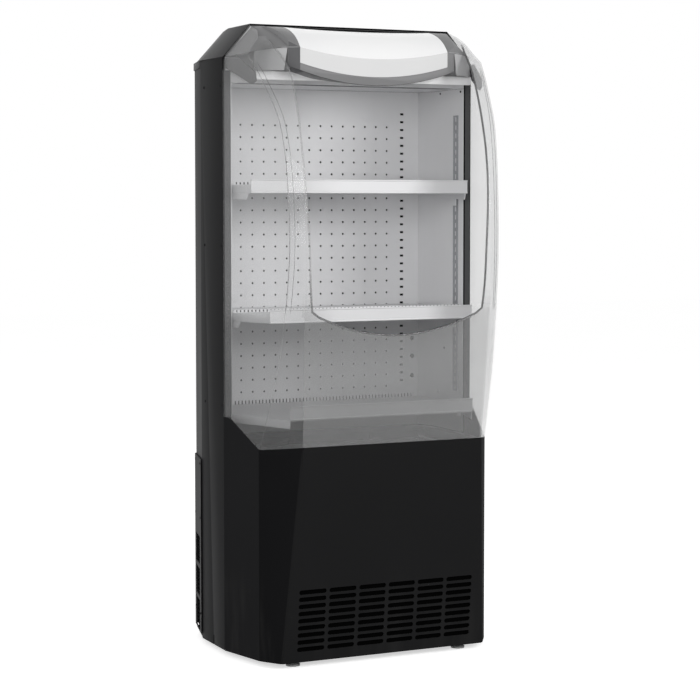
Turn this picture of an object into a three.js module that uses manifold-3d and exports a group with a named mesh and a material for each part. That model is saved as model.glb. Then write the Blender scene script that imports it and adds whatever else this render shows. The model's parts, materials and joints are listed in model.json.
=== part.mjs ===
// Open multideck display fridge: a free-standing refrigerated cabinet with an open front,
// two shelves over a bottom deck, clear wrap-around screens and the cooling unit in its base.
// Millimetres, +Z up. The viewer stands on the -Y side, with +X to the right.
// Sizes are measured from the cabinet's own datum: the bottom edge of the side panels and
// the front plane of the side panels. A "reach" is a distance forward of that plane.

import * as THREE from 'three';
import { mergeVertices } from 'three/addons/utils/BufferGeometryUtils.js';
import { ConvexGeometry } from 'three/addons/geometries/ConvexGeometry.js';
import Module from 'manifold-3d';

// ---------------------------------------------------------------- driving dimensions

const GAP = 0.3;                 // clearance between pieces that touch
const SEAT = 0.3;                // clearance under a piece that lifts off
const STEEL = 2;                 // folded sheet metal

// Cabinet outline
const CABINET_WIDTH = 673;
const HALF = CABINET_WIDTH / 2;
const CABINET_HEIGHT = 1510;
const SIDE_DEPTH = 148;          // straight run of each side panel
const BAND_DEPTH = 124;          // slanted run behind it
const BAND_INSET = 32;
const CORNER_DEPTH = 50;         // rear corner
const CORNER_INSET = 66;
const ROOF_SLOPE_WIDTH = 70;     // how far the roof leans in
const ROOF_SLOPE_HEIGHT = 82;
const ROOF_WALL = 11;
const ROOF_LIP_HEIGHT = 16;      // drip lip round the rear of the roof
const ROOF_LIP_STEP = 2.5;
const WALL = 22.5;               // side wall, panel and liner together
const CORNER_WALL = 24;
const REAR_WALL = 40;
const SIDE_NOTCH = [70, 4, 24];  // service notch: depth from the front, width, height

// Lower front cover
const FOLD_REACH = 139;          // fold between the wing and the facet
const FOLD_SET_IN = 33.5;        // set-ins are measured from the cabinet's side
const FOLD_HALF_WIDTH = HALF - FOLD_SET_IN;
const FOLD_TOP = 502;
const WING_TOP = 569;
const WING_FLAT = 22;
const BROW_FOOT_REACH = 190.7;   // fold between the facet and the front, at the floor
const BROW_FOOT_SET_IN = 67.5;
const BROW_FOOT_HALF_WIDTH = HALF - BROW_FOOT_SET_IN;
const COVER_TOP = 515;
const COVER_TOP_REACH = 241;
const COVER_TOP_SET_IN = 100.5;
const COVER_TOP_HALF_WIDTH = HALF - COVER_TOP_SET_IN;
const COVER_SHEET = 2.5;

// Air intake grille in the cover
const GRILLE_COLUMNS = 6;
const GRILLE_ROWS = 9;
const GRILLE_MARGIN = 2;         // inside the cover's top corners
const GRILLE_RIB = 7;
const GRILLE_COLUMN_PITCH = 2 * (COVER_TOP_HALF_WIDTH - GRILLE_MARGIN) / GRILLE_COLUMNS;
const GRILLE_SLOT_LENGTH = GRILLE_COLUMN_PITCH - GRILLE_RIB;
const GRILLE_ROW_PITCH = 17.3;
const GRILLE_SLOT_HEIGHT = 11;
const GRILLE_BOTTOM = 31;        // centre of the lowest row

// Clear screens: edge lines as [reach, drop below the roof's top], the opening's as [set-in, drop]
const SCREEN = 4;
const BROW_SET_IN = 93.5;        // fold between the screen's facet and its front
const BROW_HALF_WIDTH = HALF - BROW_SET_IN;
const SCREEN_DROP = 3;
const SCREEN_TOP = CABINET_HEIGHT - SCREEN_DROP;
const SCREEN_LEVELS = 12;
const FOLD_BOW = [[210, 805], [247, 610], [253, 470], [222, 254], [146, 137], [88, 72], [66, 26],
  [2, SCREEN_DROP]];
const BROW_BOW = [[262, 770], [275, 560], [268, 390], [240, 250], [188, 125], [128, 60], [76, 20],
  [10, SCREEN_DROP]];
const OPENING_SIDE_BOW = [[114.5, 681], [104.5, 516], [96.5, 350], [94.5, 125], [88.5, 89], [74.5, 36]];
const OPENING_CORNER_BOW = [130.5, 691];
const OPENING_BOTTOM_DROP = 738;
const OPENING_ARC_STEPS = 14;

// Cold compartment
const BACK_DEPTH = 213;          // perforated back panel, behind the front plane
const LINER_BOTTOM = 499;
const CEILING_DROP = 141;
const CEILING = CABINET_HEIGHT - CEILING_DROP;
const CEILING_BAND = 28;
const HONEYCOMB_DEPTH = 46;
const HONEYCOMB_HEIGHT = 14;
const HONEYCOMB_CELLS = 18;
const UPRIGHT_SET_IN = 88;       // slotted columns in the back panel
const UPRIGHT_X = HALF - UPRIGHT_SET_IN;
const UPRIGHT_SLOTS = 35;
const UPRIGHT_TOP_DROP = 57.1;   // below the ceiling
const UPRIGHT_TOP = CEILING - UPRIGHT_TOP_DROP;
const UPRIGHT_BOTTOM = 616.6;
const UPRIGHT_PITCH = (UPRIGHT_TOP - UPRIGHT_BOTTOM) / (UPRIGHT_SLOTS - 1);
const UPRIGHT_SLOT = [10, 5.4];
const RAIL_DEPTH = 36;           // centre of the side rail, behind the front plane
const RAIL_WIDTH = 25;
const RAIL_BOTTOM = 602;
const RAIL_TOP_DROP = 66;        // below the ceiling
const RAIL_TOP = CEILING - RAIL_TOP_DROP;
const RAIL_SHEET = 1.5;
const RAIL_SLOTS = 34;
const RAIL_SLOT = [7, 12];
const RAIL_PITCH = (RAIL_TOP - RAIL_BOTTOM) / RAIL_SLOTS;

// Shelves: height of the loading surface, reach of the front edge and its half width
const UPPER_SHELF_DROP = 385;
const LOWER_SHELF_DROP = 692;
const UPPER_SHELF_SET_IN = 45.5;
const LOWER_SHELF_SET_IN = 66.5;
const DECK_SET_IN = 93.9;
const UPPER_SHELF = {
  surface: CABINET_HEIGHT - UPPER_SHELF_DROP,
  reach: 63,
  halfWidth: HALF - UPPER_SHELF_SET_IN,
  bracketReach: 54
};
const LOWER_SHELF = {
  surface: CABINET_HEIGHT - LOWER_SHELF_DROP,
  reach: 126,
  halfWidth: HALF - LOWER_SHELF_SET_IN,
  bracketReach: 22
};
const DECK = { surface: 573, reach: 182, halfWidth: HALF - DECK_SET_IN };
const SHELF_SIDE_GAP = 5;        // between a shelf's straight sides and the liners
const SHELF_SIDE = HALF - WALL - SHELF_SIDE_GAP;
const SHELF_HEM = 20;
const STRIP_THICKNESS = 4;
const STRIP_HEIGHT = 33;
const STRIP_RISE = 13;           // price strip above the loading surface
const DECK_STRIP_RISE = 33;
const BRACKET_INSET = 0.3;       // inside the shelf's edge
const BRACKET_SHEET = 3;
const BRACKET_DROP = 15;         // below the hem
const BRACKET_NOSE = 10;         // how far its front edge leans back
const BRACKET_REAR = 138;
const DECK_RAIL_HEIGHT = 14;
const DECK_UPSTAND_DROP = 2;     // below the top of its price strip

// Lit canopy
const HEADER_SHEET = 3;
const CANOPY_REACH = 138;
const CANOPY_SHOULDER_REACH = 126;
const CANOPY_SHOULDER_SET_IN = 116.5;
const CANOPY_SHOULDER_HALF_WIDTH = HALF - CANOPY_SHOULDER_SET_IN;
const CANOPY_ROOT_SET_IN = 86.5;
const CANOPY_ROOT_HALF_WIDTH = HALF - CANOPY_ROOT_SET_IN;
const CANOPY_TOP_REACH = 39;
const CANOPY_TOP_DROP = 9;       // drops are measured from the roof's top
const CANOPY_TOP = CABINET_HEIGHT - CANOPY_TOP_DROP;
const CANOPY_KNEE_DROP = 63;
const CANOPY_KNEE = CABINET_HEIGHT - CANOPY_KNEE_DROP;
const CANOPY_WALL = 4;
const CANOPY_LIP_END_DROP = 108;
const CANOPY_LIP_END = CABINET_HEIGHT - CANOPY_LIP_END_DROP;
const CANOPY_LIP_MIDDLE_DROP = 148;
const CANOPY_LIP_MIDDLE = CABINET_HEIGHT - CANOPY_LIP_MIDDLE_DROP;
const CANOPY_UNDERSIDE_DROP = 112;
const CANOPY_UNDERSIDE = CABINET_HEIGHT - CANOPY_UNDERSIDE_DROP;
const LENS_SET_IN = 141;
const LENS_HALF_WIDTH = HALF - LENS_SET_IN;
const LENS_SHEET = 3;
const LENS_EDGE_END_DROP = 99;
const LENS_EDGE_END = CABINET_HEIGHT - LENS_EDGE_END_DROP;
const LENS_EDGE_MIDDLE_DROP = 128;
const LENS_EDGE_MIDDLE = CABINET_HEIGHT - LENS_EDGE_MIDDLE_DROP;
const ARCH_STEPS = 12;
const LAMP_RADIUS = 8;
const LAMP_REACH = 84;
const LAMP_DROP = 72;
const LAMP_HEIGHT = CABINET_HEIGHT - LAMP_DROP;
const LAMP_SOCKET = 12;          // half the side of the lamp's holders
const ARM_SHEET = 6;
const ARM_BOW = [[0, 83], [0, 108], [100, 151], [116, 144], [112, 122], [46, 83]];   // [reach, drop]

// Tank with the evaporator, under the deck
const TANK_BOTTOM = 402;
const TANK_TOP = 498;
const TANK_WALL = 18;
const TANK_MARGIN = 5;
const TANK_COVER_GAP = 8;        // behind the lower cover
const TANK_LEG = { inset: 20, flange: 30 };
const TANK_FLOOR = TANK_BOTTOM + TANK_WALL + GAP;
const COIL_PLATE = { sheet: 1.5, margin: 4 };
const COIL_SET_IN = 111.5;
const COIL = { halfWidth: HALF - COIL_SET_IN, front: -70, back: 60, bottom: 424, top: 484, rows: 2 };
const TUBE_RADIUS = 5;
const BEND_RADIUS = 13;
const FAN_PLATE_DEPTH = 120;
const FAN_X = 112;
const FAN_HEIGHT = 458;
const FAN_BLADES = 5;
const FAN_CLEARANCE = 3;
const FAN = { radius: 33, hub: 14, width: 16, shaft: 3 };
const MOTOR = { radius: 17, length: 26 };

// Cooling unit in the base
const BASE_BOTTOM = 3;
const BASE_SHEET = 2.5;
const CONDENSER = { halfWidth: 135, front: -160, back: -112, bottom: 26, top: 236, rows: 3 };
const BIG_FAN = { radius: 84, hub: 26, width: 26, shaft: 4 };
const BIG_MOTOR = { radius: 30, length: 40 };
const SHROUD_DEPTH = 30;
const COMPRESSOR = { x: -150, y: 150, radius: 74, height: 176, foot: 8, cushion: 11, plate: 3 };
const TRAY = { x: 110, y: 30, width: 190, depth: 120, height: 34, wall: 2.5 };
const CONTROL_SET_IN = 186.5;
const CONTROL_BOX = { x: HALF - CONTROL_SET_IN, y: 190, width: 130, depth: 80, height: 150 };
const BASE_FLOOR = BASE_BOTTOM + BASE_SHEET + GAP;
const INLET = { x: HALF - CONTROL_SET_IN, z: 70, width: 28, height: 22, depth: 24, flange: 4 };
const DRAIN_RADIUS = 9;
const PIPE_RADIUS = 5;
const PIPE_BEND = 20;            // the lines turn in steps of this

// Rear vent cover
const VENT_TOP = 448;
const VENT_BOTTOM = 12;
const VENT_FRONT = 3;            // its front edge, behind the side's straight run
const VENT_LAP = 8;              // how far the panels reach behind its edges
const VENT_STEP = 3.5;           // how far it stands out of the rear corners
const VENT_SHEET = VENT_STEP - GAP;
const VENT_WINDOWS = [[14, 89], [99, 169], [180, 250]];
const VENT_WINDOW_RUN = [26, 104];
const VENT_ROWS = 10;
const VENT_ROW_PITCH = 22;
const VENT_SLOT = [170, 10];

// Levelling feet
const FOOT_HEIGHT = 15;
const FOOT_RADIUS = 17;
const FOOT_STEM = 5;
const FOOT_STEM_TOP = 30;
const FOOT_SET_IN = 114.5;
const FOOT_X = HALF - FOOT_SET_IN;
const FOOT_FRONT_REACH = 150;
const FOOT_REAR_DEPTH = 225;

// ---------------------------------------------------------------- solids

const wasm = await Module();
wasm.setup();

function solid(geometry) {
  geometry.deleteAttribute('normal');
  geometry.deleteAttribute('uv');
  const merged = mergeVertices(geometry, 1e-4);
  const vertProperties = new Float32Array(merged.attributes.position.array);
  const triVerts = new Uint32Array(merged.index.array);
  return new wasm.Manifold(new wasm.Mesh({ numProp: 3, vertProperties, triVerts }));
}

function geometryOf(manifold) {
  const mesh = manifold.getMesh();
  const geometry = new THREE.BufferGeometry();
  geometry.setAttribute('position', new THREE.BufferAttribute(new Float32Array(mesh.vertProperties), 3));
  geometry.setIndex(new THREE.BufferAttribute(new Uint32Array(mesh.triVerts), 1));
  geometry.computeVertexNormals();
  return geometry;
}

function shapeOf(points) {
  return new THREE.Shape(points.map(([a, b]) => new THREE.Vector2(a, b)));
}

function extrude(points, depth) {
  return new THREE.ExtrudeGeometry(shapeOf(points), { depth, bevelEnabled: false });
}

// A plan outline of [x, y] raised from z0 to z1.
function plate(points, z0, z1) {
  return solid(extrude(points, z1 - z0).translate(0, 0, z0));
}

// A front outline of [x, z] run back from y0 to y1.
function frontPrism(points, y0, y1) {
  return solid(extrude(points, y1 - y0).rotateX(Math.PI / 2).translate(0, y1, 0));
}

// A side outline of [y, z] run across from x0 to x1.
function sidePrism(points, x0, x1) {
  const across = new THREE.Matrix4().makeBasis(
    new THREE.Vector3(0, 1, 0), new THREE.Vector3(0, 0, 1), new THREE.Vector3(1, 0, 0));
  return solid(extrude(points, x1 - x0).applyMatrix4(across).translate(x0, 0, 0));
}

function box(x0, x1, y0, y1, z0, z1) {
  const block = new THREE.BoxGeometry(x1 - x0, y1 - y0, z1 - z0);
  return solid(block.translate((x0 + x1) / 2, (y0 + y1) / 2, (z0 + z1) / 2));
}

// A box centred on x and y, standing on a floor.
function brick(x, y, width, depth, floor, height) {
  return box(x - width / 2, x + width / 2, y - depth / 2, y + depth / 2, floor, floor + height);
}

// A profile of [radius, z] turned about Z.
function turned(profile, sides) {
  const points = profile.map(([radius, z]) => new THREE.Vector2(radius, z));
  return solid(new THREE.LatheGeometry(points, sides).rotateX(Math.PI / 2));
}

// A cylinder along Y, from y0 to y1.
function barrel(x, z, radius, y0, y1, sides = 20) {
  const round = new THREE.CylinderGeometry(radius, radius, y1 - y0, sides);
  return solid(round.translate(x, (y0 + y1) / 2, z));
}

// A cylinder along Z, from z0 to z1.
function post(x, y, radius, z0, z1, sides = 16) {
  const round = new THREE.CylinderGeometry(radius, radius, z1 - z0, sides).rotateX(Math.PI / 2);
  return solid(round.translate(x, y, (z0 + z1) / 2));
}

// A cylinder along X, from x0 to x1.
function rod(y, z, radius, x0, x1, sides = 10) {
  const round = new THREE.CylinderGeometry(radius, radius, x1 - x0, sides).rotateZ(Math.PI / 2);
  return solid(round.translate((x0 + x1) / 2, y, z));
}

function join(pieces) {
  return pieces.reduce((whole, piece) => whole.add(piece));
}

function cut(body, cutters) {
  return cutters.length ? body.subtract(join(cutters)) : body;
}

function mirrored(points) {
  return points.map(([x, y]) => [-x, y]).reverse();
}

function hull(levels) {
  const points = levels.flatMap(({ outline, z }) => outline.map(([x, y]) => new THREE.Vector3(x, y, z)));
  return solid(new ConvexGeometry(points));
}

// A tube of one radius along a smooth route.
function pipe(route, radius, sides = 8, steps = 24) {
  const points = route.map((point) => new THREE.Vector3(...point));
  const path = new THREE.CatmullRomCurve3(points, false, 'centripetal');
  const ring = Array.from({ length: sides }, (_, i) => {
    const angle = 2 * Math.PI * i / sides;
    return [radius * Math.cos(angle), radius * Math.sin(angle)];
  });
  return solid(new THREE.ExtrudeGeometry(shapeOf(ring), { steps, extrudePath: path }));
}

// ---------------------------------------------------------------- outlines

const CABINET_DEPTH = SIDE_DEPTH + BAND_DEPTH + CORNER_DEPTH;
const EAVES = CABINET_HEIGHT - ROOF_SLOPE_HEIGHT;

// Each edge of a convex anticlockwise outline moves in by its own distance.
function inset(points, distances) {
  const lines = points.map((point, i) => {
    const next = points[(i + 1) % points.length];
    const direction = new THREE.Vector2(next[0] - point[0], next[1] - point[1]).normalize();
    const inward = new THREE.Vector2(-direction.y, direction.x);
    return { start: new THREE.Vector2(...point).addScaledVector(inward, distances[i]), direction };
  });
  return lines.map((line, i) => {
    const last = lines[(i + lines.length - 1) % lines.length];
    const offset = line.start.clone().sub(last.start);
    const along = offset.cross(line.direction) / last.direction.cross(line.direction);
    const corner = last.start.clone().addScaledVector(last.direction, along);
    return [corner.x, corner.y];
  });
}

// The cabinet from above, anticlockwise from the front left corner.
const CABINET_PLAN = [
  [-HALF, 0], [HALF, 0], [HALF, SIDE_DEPTH], [HALF - BAND_INSET, SIDE_DEPTH + BAND_DEPTH],
  [HALF - BAND_INSET - CORNER_INSET, CABINET_DEPTH], [-(HALF - BAND_INSET - CORNER_INSET), CABINET_DEPTH],
  [-(HALF - BAND_INSET), SIDE_DEPTH + BAND_DEPTH], [-HALF, SIDE_DEPTH]];

// Each kind of edge moves in by its own distance: the front, the sides and bands, the corners, the back.
function cabinetInset(front, side, corner, back) {
  return inset(CABINET_PLAN, [front, side, side, corner, back, corner, side, side]);
}

const PANEL_INNER = cabinetInset(0, WALL - STEEL - GAP, CORNER_WALL, REAR_WALL);
const LINER_OUTER = cabinetInset(0, WALL - STEEL, CORNER_WALL, REAR_WALL);
const LINER_INNER = cabinetInset(0, WALL, CORNER_WALL, REAR_WALL);
const LINER_HALF = LINER_INNER[1][0];

function share(value, low, high) {
  return (value - low) / (high - low);
}

// Half width inside an outline at a depth behind the front plane.
function halfWidthAt(outline, depth) {
  const [start, end] = [outline[2], outline[3]];
  return THREE.MathUtils.lerp(start[0], end[0], Math.max(0, share(depth, start[1], end[1])));
}

function linerHalfWidth(depth) {
  return halfWidthAt(LINER_INNER, depth);
}

// The front edge of the wings leans in as it comes forward.
function wingHalfWidth(reach) {
  return HALF - reach * (HALF - FOLD_HALF_WIDTH) / FOLD_REACH;
}

// The lower cover from above, at a height.
function coverPlan(z, thickness = 0) {
  const rise = share(z, 0, COVER_TOP);
  const reach = THREE.MathUtils.lerp(BROW_FOOT_REACH, COVER_TOP_REACH, rise);
  const half = THREE.MathUtils.lerp(BROW_FOOT_HALF_WIDTH, COVER_TOP_HALF_WIDTH, rise);
  const outline = [[-FOLD_HALF_WIDTH, -FOLD_REACH], [-half, -reach], [half, -reach],
    [FOLD_HALF_WIDTH, -FOLD_REACH], [HALF, 0], [-HALF, 0]];
  return inset(outline, [thickness, thickness, thickness, thickness, -thickness, thickness]);
}

// The cover's top edge from the side, as [y, z] from the cabinet forward.
function coverEdge(lift) {
  return [[0, WING_TOP + lift], [-WING_FLAT, WING_TOP + lift], [-FOLD_REACH, FOLD_TOP + lift],
    [-COVER_TOP_REACH, COVER_TOP + lift], [-2 * COVER_TOP_REACH, COVER_TOP + lift]];
}

function curveOf(points) {
  const spline = new THREE.SplineCurve(points.map(([reach, z]) => new THREE.Vector2(reach, z)));
  return spline.getPoints(3 * (points.length - 1));
}

// Reach of a bowed edge at a height.
function reachAt(curve, z) {
  const index = Math.max(1, curve.findIndex((point) => point.y >= z));
  const [low, high] = [curve[index - 1], curve[index]];
  return THREE.MathUtils.lerp(low.x, high.x, share(z, low.y, high.y));
}

function dropped(points) {
  return points.map(([across, drop]) => [across, CABINET_HEIGHT - drop]);
}

function setIn(points) {
  return points.map(([across, height]) => [HALF - across, height]);
}

const FOLD_LINE = curveOf([[FOLD_REACH, FOLD_TOP], ...dropped(FOLD_BOW)]);
const BROW_LINE = curveOf([[COVER_TOP_REACH, COVER_TOP], ...dropped(BROW_BOW)]);
const OPENING_SIDE = setIn(dropped(OPENING_SIDE_BOW));
const [OPENING_CORNER] = setIn(dropped([OPENING_CORNER_BOW]));
const OPENING_BOTTOM = CABINET_HEIGHT - OPENING_BOTTOM_DROP;

// ---------------------------------------------------------------- clear screens

// The screens' outer skin from above, at a height.
function screenPlan(z, thickness) {
  const lean = Math.max(0, z - EAVES) * ROOF_SLOPE_WIDTH / ROOF_SLOPE_HEIGHT;
  const fold = reachAt(FOLD_LINE, Math.max(z, FOLD_TOP));
  const brow = reachAt(BROW_LINE, Math.max(z, COVER_TOP));
  const widening = Math.min(1, share(z, COVER_TOP, LOWER_SHELF.surface));
  const browHalf = THREE.MathUtils.lerp(COVER_TOP_HALF_WIDTH, BROW_HALF_WIDTH, Math.max(0, widening));
  const foldHalf = wingHalfWidth(fold) - lean;
  const outline = [[-foldHalf, -fold], [-browHalf, -brow], [browHalf, -brow], [foldHalf, -fold],
    [HALF - lean, 0], [lean - HALF, 0]];
  return inset(outline, [thickness, thickness, thickness, thickness, -thickness, thickness]);
}

function screenLevels() {
  const step = (SCREEN_TOP - FOLD_TOP) / SCREEN_LEVELS;
  const even = Array.from({ length: SCREEN_LEVELS }, (_, i) => FOLD_TOP + i * step);
  return [...even, EAVES, SCREEN_TOP].sort((a, b) => a - b);
}

function screenVolume(thickness) {
  const levels = screenLevels().map((z) => ({ outline: screenPlan(z, thickness), z }));
  return join(levels.slice(1).map((level, i) => hull([levels[i], level])));
}

function aboveCover() {
  const top = SCREEN_TOP + 10;
  const outline = [...coverEdge(GAP), [-2 * COVER_TOP_REACH, top], [0, top]];
  return sidePrism(outline.reverse(), -HALF, HALF);
}

// Everything from the fold between the side screens and the front screen back to a plane.
function behindFold(shift, rear) {
  const edge = FOLD_LINE.map((point) => [-(point.x + shift), point.y]);
  const bottom = FOLD_TOP - 40;
  const foot = [[rear, bottom], [-(FOLD_REACH + shift), bottom]];
  const outline = [...foot, ...edge, [rear, SCREEN_TOP + 5]];
  return sidePrism(outline.reverse(), -HALF, HALF);
}

function accessOpening() {
  const [cornerX, cornerZ] = OPENING_CORNER;
  const bottom = Array.from({ length: OPENING_ARC_STEPS + 1 }, (_, i) => {
    const x = cornerX * (2 * i / OPENING_ARC_STEPS - 1);
    return [x, OPENING_BOTTOM + (cornerZ - OPENING_BOTTOM) * (x / cornerX) ** 2];
  });
  const right = [...OPENING_SIDE, [HALF, OPENING_SIDE.at(-1)[1]], [HALF, SCREEN_TOP + 20]];
  return frontPrism([...bottom, ...right, ...mirrored(right)], -2 * COVER_TOP_REACH, GAP);
}

function screens() {
  const skin = screenVolume(0).subtract(screenVolume(SCREEN)).intersect(aboveCover());
  const [between] = OPENING_SIDE.at(-1);
  const middle = box(-between, between, -COVER_TOP_REACH, 0, EAVES, CABINET_HEIGHT);
  const sides = skin.intersect(behindFold(0, -GAP)).subtract(middle);
  const front = skin.subtract(behindFold(GAP, GAP)).subtract(accessOpening());
  return {
    left: sides.intersect(box(-HALF, 0, -COVER_TOP_REACH * 2, 0, 0, CABINET_HEIGHT)),
    right: sides.intersect(box(0, HALF, -COVER_TOP_REACH * 2, 0, 0, CABINET_HEIGHT)),
    front
  };
}

// ---------------------------------------------------------------- cabinet shell

function sidePanel() {
  const outer = CABINET_PLAN.slice(1, 4);
  const inner = PANEL_INNER.slice(1, 4).reverse();
  const panel = plate([...outer, ...inner], 0, EAVES - GAP);
  const lap = SIDE_DEPTH + VENT_FRONT + VENT_LAP;
  const behindVent = box(0, HALF + 5, lap, CABINET_DEPTH, -5, VENT_TOP - VENT_LAP);
  const [depth, width, height] = SIDE_NOTCH;
  const notch = box(HALF - WALL - 5, HALF + 5, depth, depth + width, -5, height);
  return cut(panel, [behindVent, notch]);
}

function rearPanel() {
  const wall = [...CABINET_PLAN.slice(3, 7), ...PANEL_INNER.slice(3, 7).reverse()];
  const seam = SIDE_DEPTH + BAND_DEPTH + GAP;
  const sides = [-1, 1].map((side) => {
    const [[x0, y0], [x1, y1]] = [CABINET_PLAN[3], PANEL_INNER[3]];
    const edge = [[x0 + 5, y0 - 5], [x0 + 5, seam], [x0, seam], [x1, y1 + GAP], [x1 - 5, y1 - 5]];
    return plate(side > 0 ? edge : mirrored(edge), 0, CABINET_HEIGHT);
  });
  return cut(plate(wall, VENT_TOP - VENT_LAP, EAVES - GAP), sides);
}

function roofCap() {
  const slope = ROOF_SLOPE_WIDTH;
  const outer = hull([
    { outline: CABINET_PLAN, z: EAVES },
    { outline: cabinetInset(0, slope, slope, slope), z: CABINET_HEIGHT }]);
  const inner = hull([
    { outline: cabinetInset(-5, ROOF_WALL, ROOF_WALL, ROOF_WALL), z: EAVES - 1 },
    { outline: cabinetInset(-5, slope, slope, slope), z: CABINET_HEIGHT - ROOF_WALL }]);
  const step = -ROOF_LIP_STEP;
  const lipOutline = inset(CABINET_PLAN, [0, 0, step, step, step, step, step, 0]);
  const clear = -GAP;
  const lipInner = inset(CABINET_PLAN, [0, clear, clear, clear, clear, clear, clear, clear]);
  const collar = plate(lipOutline, EAVES, EAVES + ROOF_LIP_STEP);
  const skirt = plate(lipOutline, EAVES - ROOF_LIP_HEIGHT, EAVES + 1);
  const core = plate(lipInner, EAVES - ROOF_LIP_HEIGHT - 1, EAVES);
  return outer.add(collar).add(skirt.subtract(core)).subtract(inner);
}

function liner() {
  const depth = BACK_DEPTH - GAP;
  const outer = [...LINER_OUTER.slice(1, 3), [linerHalfWidth(depth) + STEEL, depth]];
  const inner = [...LINER_INNER.slice(1, 3), [linerHalfWidth(depth), depth]].reverse();
  return plate([...outer, ...inner], LINER_BOTTOM, CEILING - GAP);
}

function backPanel() {
  const half = halfWidthAt(PANEL_INNER, BACK_DEPTH + STEEL) - GAP;
  const panel = box(-half, half, BACK_DEPTH, BACK_DEPTH + STEEL, LINER_BOTTOM, CEILING - GAP);
  const [width, height] = UPRIGHT_SLOT;
  const slots = Array.from({ length: UPRIGHT_SLOTS }, (_, i) => {
    const z = UPRIGHT_TOP - i * UPRIGHT_PITCH;
    return [-UPRIGHT_X, UPRIGHT_X].map((x) => box(x - width / 2, x + width / 2, BACK_DEPTH - 5,
      BACK_DEPTH + STEEL + 5, z - height / 2, z + height / 2));
  }).flat();
  return cut(panel, slots);
}

function ceilingDuct() {
  const wall = cabinetInset(-GAP, WALL - STEEL, CORNER_WALL, REAR_WALL);
  const rearHalf = halfWidthAt(wall, BACK_DEPTH);
  const [, front, side] = wall;
  const plan = [[-front[0], GAP], front, side, [rearHalf, BACK_DEPTH], [-rearHalf, BACK_DEPTH],
    [-side[0], side[1]]];
  const outer = plate(plan, CEILING, CEILING + CEILING_BAND);
  const inner = plate(inset(plan, [STEEL, STEEL, STEEL, -5, STEEL, STEEL]), CEILING + STEEL,
    CEILING + CEILING_BAND - STEEL);
  const [outlet] = honeycombSpan(GAP);
  return outer.subtract(inner).subtract(box(...outlet, CEILING - 5, CEILING + STEEL + 1));
}

// The outlet opening in the ceiling, as [x0, x1, y0, y1], grown by a clearance.
function honeycombSpan(clearance) {
  const half = LINER_HALF - 24 + clearance;
  const front = 8 - clearance;
  return [[-half, half, front, front + HONEYCOMB_DEPTH + 2 * clearance]];
}

function honeycomb() {
  const [[x0, x1, y0, y1]] = honeycombSpan(0);
  const block = box(x0, x1, y0, y1, CEILING, CEILING + HONEYCOMB_HEIGHT);
  const pitch = (x1 - x0) / HONEYCOMB_CELLS;
  const rib = 2;
  const middle = (y0 + y1) / 2;
  const cells = Array.from({ length: HONEYCOMB_CELLS }, (_, i) => {
    const left = x0 + i * pitch + rib / 2;
    return [[y0 + rib, middle - rib / 2], [middle + rib / 2, y1 - rib]].map(([front, back]) =>
      box(left, left + pitch - rib, front, back, CEILING - 5, CEILING + HONEYCOMB_HEIGHT + 5));
  }).flat();
  return cut(block, cells);
}

function sideRail() {
  const outer = LINER_HALF - GAP;
  const rail = box(outer - RAIL_SHEET, outer, RAIL_DEPTH - RAIL_WIDTH / 2, RAIL_DEPTH + RAIL_WIDTH / 2,
    RAIL_BOTTOM, RAIL_TOP);
  const [width, height] = RAIL_SLOT;
  const [front, back] = [RAIL_DEPTH - width / 2, RAIL_DEPTH + width / 2];
  const slots = Array.from({ length: RAIL_SLOTS }, (_, i) => {
    const z = RAIL_BOTTOM + (i + 0.5) * RAIL_PITCH;
    return box(outer - 10, outer + 10, front, back, z - height / 2, z + height / 2);
  });
  return cut(rail, slots);
}

// ---------------------------------------------------------------- lower cover and rear vent

// A long slot with pointed ends, as [x, z] around its middle.
function louvre(x, z, length, height) {
  const [end, nose] = [length / 2 - height / 3, length / 2];
  const right = [[x + end, z - height / 2], [x + nose, z], [x + end, z + height / 2]];
  const left = right.map(([px, pz]) => [2 * x - px, pz]).reverse();
  return [...right, ...left];
}

function frontCover() {
  const height = WING_TOP + 20;
  const skin = hull([{ outline: coverPlan(0), z: 0 }, { outline: coverPlan(height), z: height }]);
  const core = hull([{ outline: coverPlan(-5, COVER_SHEET), z: -5 },
    { outline: coverPlan(height + 5, COVER_SHEET), z: height + 5 }]);
  const under = sidePrism([[-GAP, -1], [-GAP, WING_TOP], ...coverEdge(0).slice(1),
    [-2 * COVER_TOP_REACH, -1]], -HALF, HALF);
  const slots = [];
  for (let row = 0; row < GRILLE_ROWS; row += 1) {
    for (let column = 0; column < GRILLE_COLUMNS; column += 1) {
      const x = (column - (GRILLE_COLUMNS - 1) / 2) * GRILLE_COLUMN_PITCH;
      const z = GRILLE_BOTTOM + row * GRILLE_ROW_PITCH;
      const outline = louvre(x, z, GRILLE_SLOT_LENGTH, GRILLE_SLOT_HEIGHT);
      slots.push(frontPrism(outline, -COVER_TOP_REACH, -FOLD_REACH));
    }
  }
  return cut(skin.subtract(core).intersect(under), slots);
}

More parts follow.
